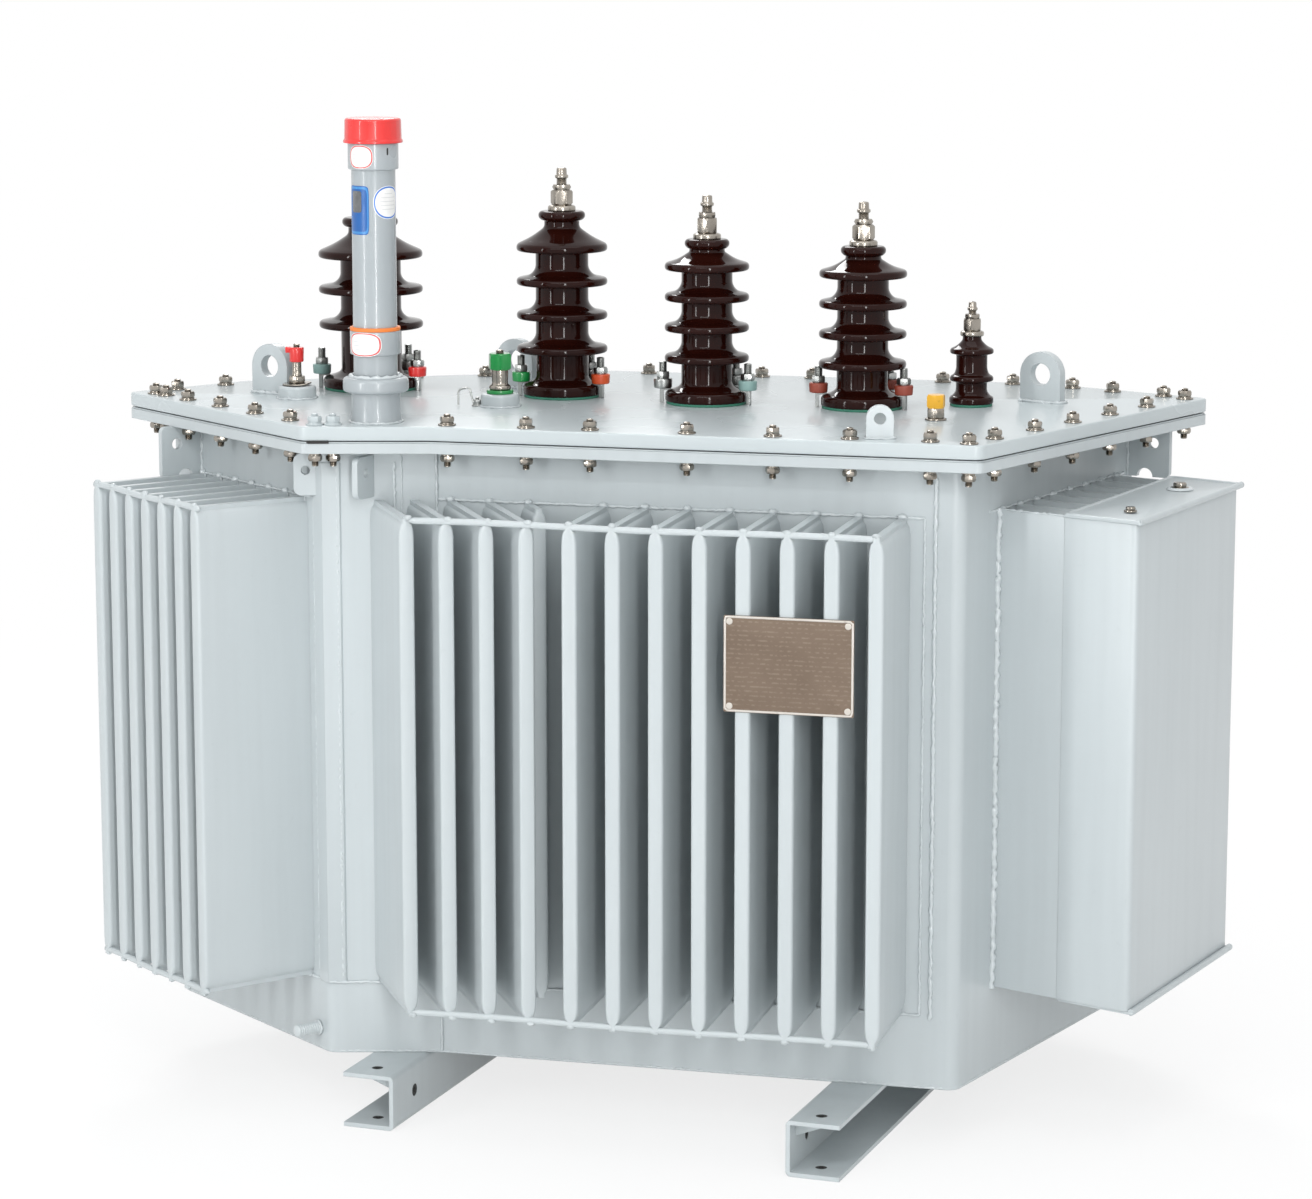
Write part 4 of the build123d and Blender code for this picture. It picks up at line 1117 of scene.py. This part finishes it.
def fittings(v):
    def at(name, shape, turn=0.0):
        return placed(shape, *v[name], lidTop, turn)

    boss = discShape(v["boss"], 20.5, 1, 5, 6, 56)
    finishedPiece("fitting_bosses", [at("red", boss), at("green", boss)], paint, 35,
                  ["lid_bosses"])
    redStem = turnedShape([(0, 36), (9, 36), (7.5, 41), (7.5, 60), (0, 60)], 32, [0, 2, 3, 0, 0], 3)
    greenStem = turnedShape([(0, 26), (17, 26), (17.5, 33), (12.6, 36), (13.4, 50), (13.4, 61), (0, 61)],
                            40, [0, 3, 3, 3, 5, 1, 0], 5)
    metal = [at("red", crookedWasher()), at("red", nutShape(26, 25, 36, 36), 20), at("red", redStem),
             at("red", turnedShape(threadProfile(5.5, 80, 89), 20)), at("green", greenStem),
             at("green", turnedShape(threadProfile(6.5, 84, 91), 20)),
             at("yellow", discShape(17, 3, 0.8, 1.2, 2, 32)), at("yellow", nutShape(26, 3, 19, 36), 10)]
    finishedPiece("fitting_stems", metal, bronze, 35, ["lid_fittings"])
    redCap = turnedShape([(0, 59), (11.5, 59), (12.3, 83), (0, 83)], 12, [0, 2, 2.5, 0], 4)
    wedge = placed(slabShape([(-9, -5), (0, -5), (0, 5), (-9, 5)], 1.5, 74, 83.5, 1.2), -9, 0)
    finishedPiece("red_fitting_cap", [at("red", redCap), at("red", wedge, 14)], finishes["redPlastic"],
                  30, ["fitting_caps"])
    greenRing = turnedShape([(0, 20.5), (21.5, 20.5), (21.5, 26.5), (0, 26.5)], 48, [0, 1.5, 1.5, 0], 3)
    green = [at("green", nutShape(33, 59, 85, 48, 0.07), 25), at("green", greenRing)]
    finishedPiece("green_fitting_cap", green, finishes["greenPlastic"], 30)
    amber = at("yellow", nutShape(26, 19, 40, 60, 0.10))
    finishedPiece("amber_fitting_cap", amber, finishes["amberPlastic"], 30)


def wireClip(v):
    # a bent wire held by a small bolt
    x, y = v["place"]
    bends = [(-14, 0, 1.6), (-14, 0, 26), (4, 2, 30), (10, 4, 4), (14, 5, 1.6), (24, 6, 1.6)]
    wire = tubeShape(resampled(rounded(bends, 6, 6), 3), v["wire"], 8, ref=(0.1, 1, 0))
    bolt = placed(boltShape(clipBolt), x + v["bolt"][0], y + v["bolt"][1], lidTop)
    finishedPiece("earth_clip", [placed(wire, x, y, lidTop), bolt], zinc, 35)


def drainStub(v):
    x, y, turn = wallPlace(walls["left"], leftLength - v["inset"])
    stub = tipped(turnedShape(threadProfile(v["radius"], 0, v["length"], v["pitch"], v["depth"]), 32))
    stub = placed(stub, x, y, unit["wallFoot"] + v["height"], turn)
    finishedPiece("drain_thread", stub, weldPaint, 40, ["drain_stub"])


fittings(fittingValues)
wireClip(clipValues)
drainStub(drainValues)
print("fittings and drain done")


# Rating plate, bare

plateValues = {"wide": 198.0, "high": 146.0, "fin": 4, "shift": 71, "topDrop": 124.0, "out": 200.3,
               "thick": 2.0, "borderInset": 2.2, "border": 1.9, "rivetInset": 9, "rivet": 5.4}


def etchedMaterial():
    # a brown sheet with broken ruled lines: the sine of the height where a noise is high
    material, tree, shader = newMaterial("etched_plate")
    age = node(tree, "ShaderNodeGroup", node_tree=ageing)
    age.inputs["Patch Size"].default_value = 14.0
    age.inputs["Grain Size"].default_value = 700.0
    place = objectPlace(tree)
    height = node(tree, "ShaderNodeSeparateXYZ", {"Vector": place}).outputs[2]
    rule = mathNode(tree, "SINE", mathNode(tree, "MULTIPLY", height, 900.0))
    broken = noiseNode(tree, place, 170, 2)
    etched = mathNode(tree, "MULTIPLY", spread(tree, rule, 0.25, 0.6), spread(tree, broken, 0.45, 0.6))
    patches = age.outputs["Patches"]
    colour = mixColour(tree, patches, (0.175, 0.128, 0.093), (0.140, 0.101, 0.072), 0.7)
    tree.links.new(mixColour(tree, etched, colour, (0.30, 0.24, 0.19), 0.35), shader.inputs["Base Color"])
    shader.inputs["Metallic"].default_value = 0.35
    tree.links.new(scaledSum(tree, patches, 0.12, 0.48), shader.inputs["Roughness"])
    addBump(tree, shader, etched, 0.3, 0.0002)
    return material


def ratingPlate(v):
    middle = frontFirst + v["fin"] * rowValues["front"][1] + v["shift"]
    x, y, turn = wallPlace(walls["front"], middle, v["out"])
    z = finTop - v["topDrop"] - v["high"] / 2
    w, h = v["wide"] / 2, v["high"] / 2
    corners = np.array([(-w, -h), (w, -h), (w, h), (-w, h)])

    def put(shape):
        return placed(tipped(shape), x, y, z, turn)

    sheet = put(slabShape(corners, 3, 0, v["thick"], 0.4))
    finishedPiece("plate_sheet", sheet, etchedMaterial(), 35, ["rating_plate"])
    rim = rounded(insetLine(corners, v["borderInset"]), 3, 4, True)
    border = tubeShape(resampled(level(rim, 1.7, True), 6), v["border"], 8, flat=0.7)
    r = v["rivet"]
    rivet = turnedShape([(0, 1.9), (r, 1.9), (r - 0.8, 3.0), (0, 3.0)], 20, [0, 0.8, 1.5, 0], 4)
    inset = v["rivetInset"]
    rivets = [placed(rivet, sx * (w - inset), sy * (h - inset)) for sx in (-1, 1) for sy in (-1, 1)]
    finishedPiece("plate_border", [put(shape) for shape in [border] + rivets], finishes["plateEdge"],
                  35)


ratingPlate(plateValues)
print("rating plate done")


# Finishes of the CAD nodes that stay, and dark rings in the skids' bolt holes as painted shade

for name, obj in nodes.items():
    obj.data.materials.clear()
    obj.data.materials.append(finishes["blackRubber"] if name == "lid_gasket" else paint)

holeValues = {"place": (367.0, 440.0), "radius": 8.9, "web": (323.0, 396.0), "webRadius": 9.9, "open": 4.5,
              "sunk": 0.5, "deep": 5.5, "heights": (7.0, 88.0), "webHeight": 44.0}


def holeShadeRing(radius, v):
    # a dark ring that narrows a hole, just under the face: painted shade inside the hole
    inner, high, low = v["open"], -v["sunk"], -v["deep"]
    return turnedShape([(inner, high), (radius, high), (radius, low), (inner, low), (inner, high)], 28)


def onSkid(shape, x, y, z):
    # from the skids' frame back to the tank's
    c, s = math.cos(unit["turn"]), math.sin(unit["turn"])
    centreX, centreY = unit["skidCentre"]
    return placed(shape, x * c + y * s + centreX, y * c - x * s + centreY, z, -math.degrees(unit["turn"]))


def skidHoleShade(v):
    # two dark rings of painted shade at each bolt hole of the flanges and one at each hole of the web
    holeShade = []
    flangeRing = holeShadeRing(v["radius"], v)
    for sx in (-1, 1):
        points, quads = tipped(holeShadeRing(v["webRadius"], v), "y")
        webRing = (points * (-sx, 1, 1), quads)
        for sy in (-1, 1):
            holeShade += [onSkid(flangeRing, sx * v["place"][0], sy * v["place"][1], z) for z in v["heights"]]
            holeShade.append(onSkid(webRing, sx * v["web"][0], sy * v["web"][1], v["webHeight"]))
    # the rings take the black rubber finish as painted shade in the holes
    finishedPiece("skid_hole_shade", holeShade, finishes["blackRubber"])


skidHoleShade(holeValues)


# Floor, light and camera

stageValues = {"sky": 0.85, "horizon": 0.24, "floorColour": (0.90, 0.90, 0.90), "floorSize": 160,
               "glowNear": 0.78, "glowFar": 1.0, "near": 1.2, "far": 4.5, "skyColour": (0.985, 0.995, 1.0)}
# each lamp: its place, what it looks at, its two sizes in metres and its power in watts
lampValues = {
    "left_window": ((-3.3, -5.4, 2.2), (0, 0, 1.1), (0.40, 4.0), 105),
    "right_window": ((3.0, -5.7, 2.3), (0, 0, 1.1), (0.50, 4.2), 160),
    "top_bank": ((0.3, -0.6, 5.2), (0, 0, 1.0), (4.0, 3.0), 45),
    "upper_strip": ((0.6, -4.6, 4.4), (0, 0, 1.3), (3.4, 0.22), 45),
    "back_fill": ((-2.5, 4.5, 5.0), (0, 0, 0.7), (2.0, 2.0), 130),
}
cameraValues = {"place": (2.1426, -5.9913, 1.900), "yaw": 20.2, "pitch": 9.93, "focalPixels": 4000,
                "widePixels": 1312, "sensor": 36.0, "clipEnd": 300.0}


def seenRays(tree):
    # 1 for rays from the camera, off a mirror and through glass, 0 for the light that falls on things
    path = node(tree, "ShaderNodeLightPath")
    seen = mathNode(tree, "MAXIMUM", path.outputs["Is Camera Ray"], path.outputs["Is Glossy Ray"])
    return mathNode(tree, "MAXIMUM", seen, path.outputs["Is Transmission Ray"])


def makeFloor(v):
    # a matt floor that takes the shadow, mixed with a white glow that grows with the distance
    bpy.ops.mesh.primitive_plane_add(size=v["floorSize"], location=(0, 0, 0))
    floor = bpy.context.object
    floor.name = "studio_floor"
    material, tree, shader = newMaterial("studio_floor")
    shader.inputs["Base Color"].default_value = (*v["floorColour"], 1)
    shader.inputs["Roughness"].default_value = 0.9
    shader.inputs["Specular IOR Level"].default_value = 0.1
    glow = node(tree, "ShaderNodeEmission", {"Strength": 1.0})
    away = node(tree, "ShaderNodeVectorMath", {0: objectPlace(tree)}, operation="LENGTH").outputs["Value"]
    far = spread(tree, away, v["near"], v["far"])
    share = scaledSum(tree, far, v["glowFar"] - v["glowNear"], v["glowNear"])
    seen = mathNode(tree, "MULTIPLY", seenRays(tree), share)
    mix = node(tree, "ShaderNodeMixShader", {0: seen, 1: shader.outputs[0], 2: glow.outputs[0]})
    tree.links.new(mix.outputs[0], tree.nodes["Material Output"].inputs["Surface"])
    floor.data.materials.append(material)


def makeWorld(v):
    # light that grows from the horizon to the sky, and plain white where it is seen
    world = bpy.data.worlds.new("studio")
    bpy.context.scene.world = world
    world.use_nodes = True
    tree = world.node_tree
    tree.nodes.clear()
    up = node(tree, "ShaderNodeTexCoord").outputs["Generated"]
    height = node(tree, "ShaderNodeSeparateXYZ", {0: up}).outputs[2]
    strength = scaledSum(tree, spread(tree, height, 0.02, 0.75), v["sky"] - v["horizon"], v["horizon"])
    around = node(tree, "ShaderNodeBackground", {"Color": v["skyColour"], "Strength": strength})
    white = node(tree, "ShaderNodeBackground", {"Color": (1, 1, 1), "Strength": 1.0})
    mix = node(tree, "ShaderNodeMixShader", {0: seenRays(tree), 1: around.outputs[0], 2: white.outputs[0]})
    node(tree, "ShaderNodeOutputWorld", {"Surface": mix.outputs[0]})


def areaLight(name, place, target, size, power):
    # a flat lamp turned so that it looks from its place to the target
    lamp = bpy.data.lights.new(name, "AREA")
    lamp.shape = "RECTANGLE"
    lamp.size, lamp.size_y = size
    lamp.energy = power
    holder = bpy.data.objects.new(name, lamp)
    bpy.context.scene.collection.objects.link(holder)
    away = np.array(place) - np.array(target)
    holder.location = place
    tilt = math.atan2(math.hypot(away[0], away[1]), away[2])
    holder.rotation_euler = (tilt, 0, math.atan2(away[0], -away[1]))


def makeCamera(v):
    lens = bpy.data.cameras.new("photo_view")
    lens.lens = v["focalPixels"] / v["widePixels"] * v["sensor"]
    lens.sensor_width = v["sensor"]
    lens.clip_end = v["clipEnd"]
    camera = bpy.data.objects.new("photo_view", lens)
    bpy.context.scene.collection.objects.link(camera)
    camera.location = v["place"]
    camera.rotation_euler = (math.radians(90 - v["pitch"]), 0, math.radians(v["yaw"]))
    bpy.context.scene.camera = camera


makeFloor(stageValues)
makeWorld(stageValues)
for name, values in lampValues.items():
    areaLight(name, *values)
makeCamera(cameraValues)
bpy.context.scene.view_settings.view_transform = "Standard"
print("stage ready")
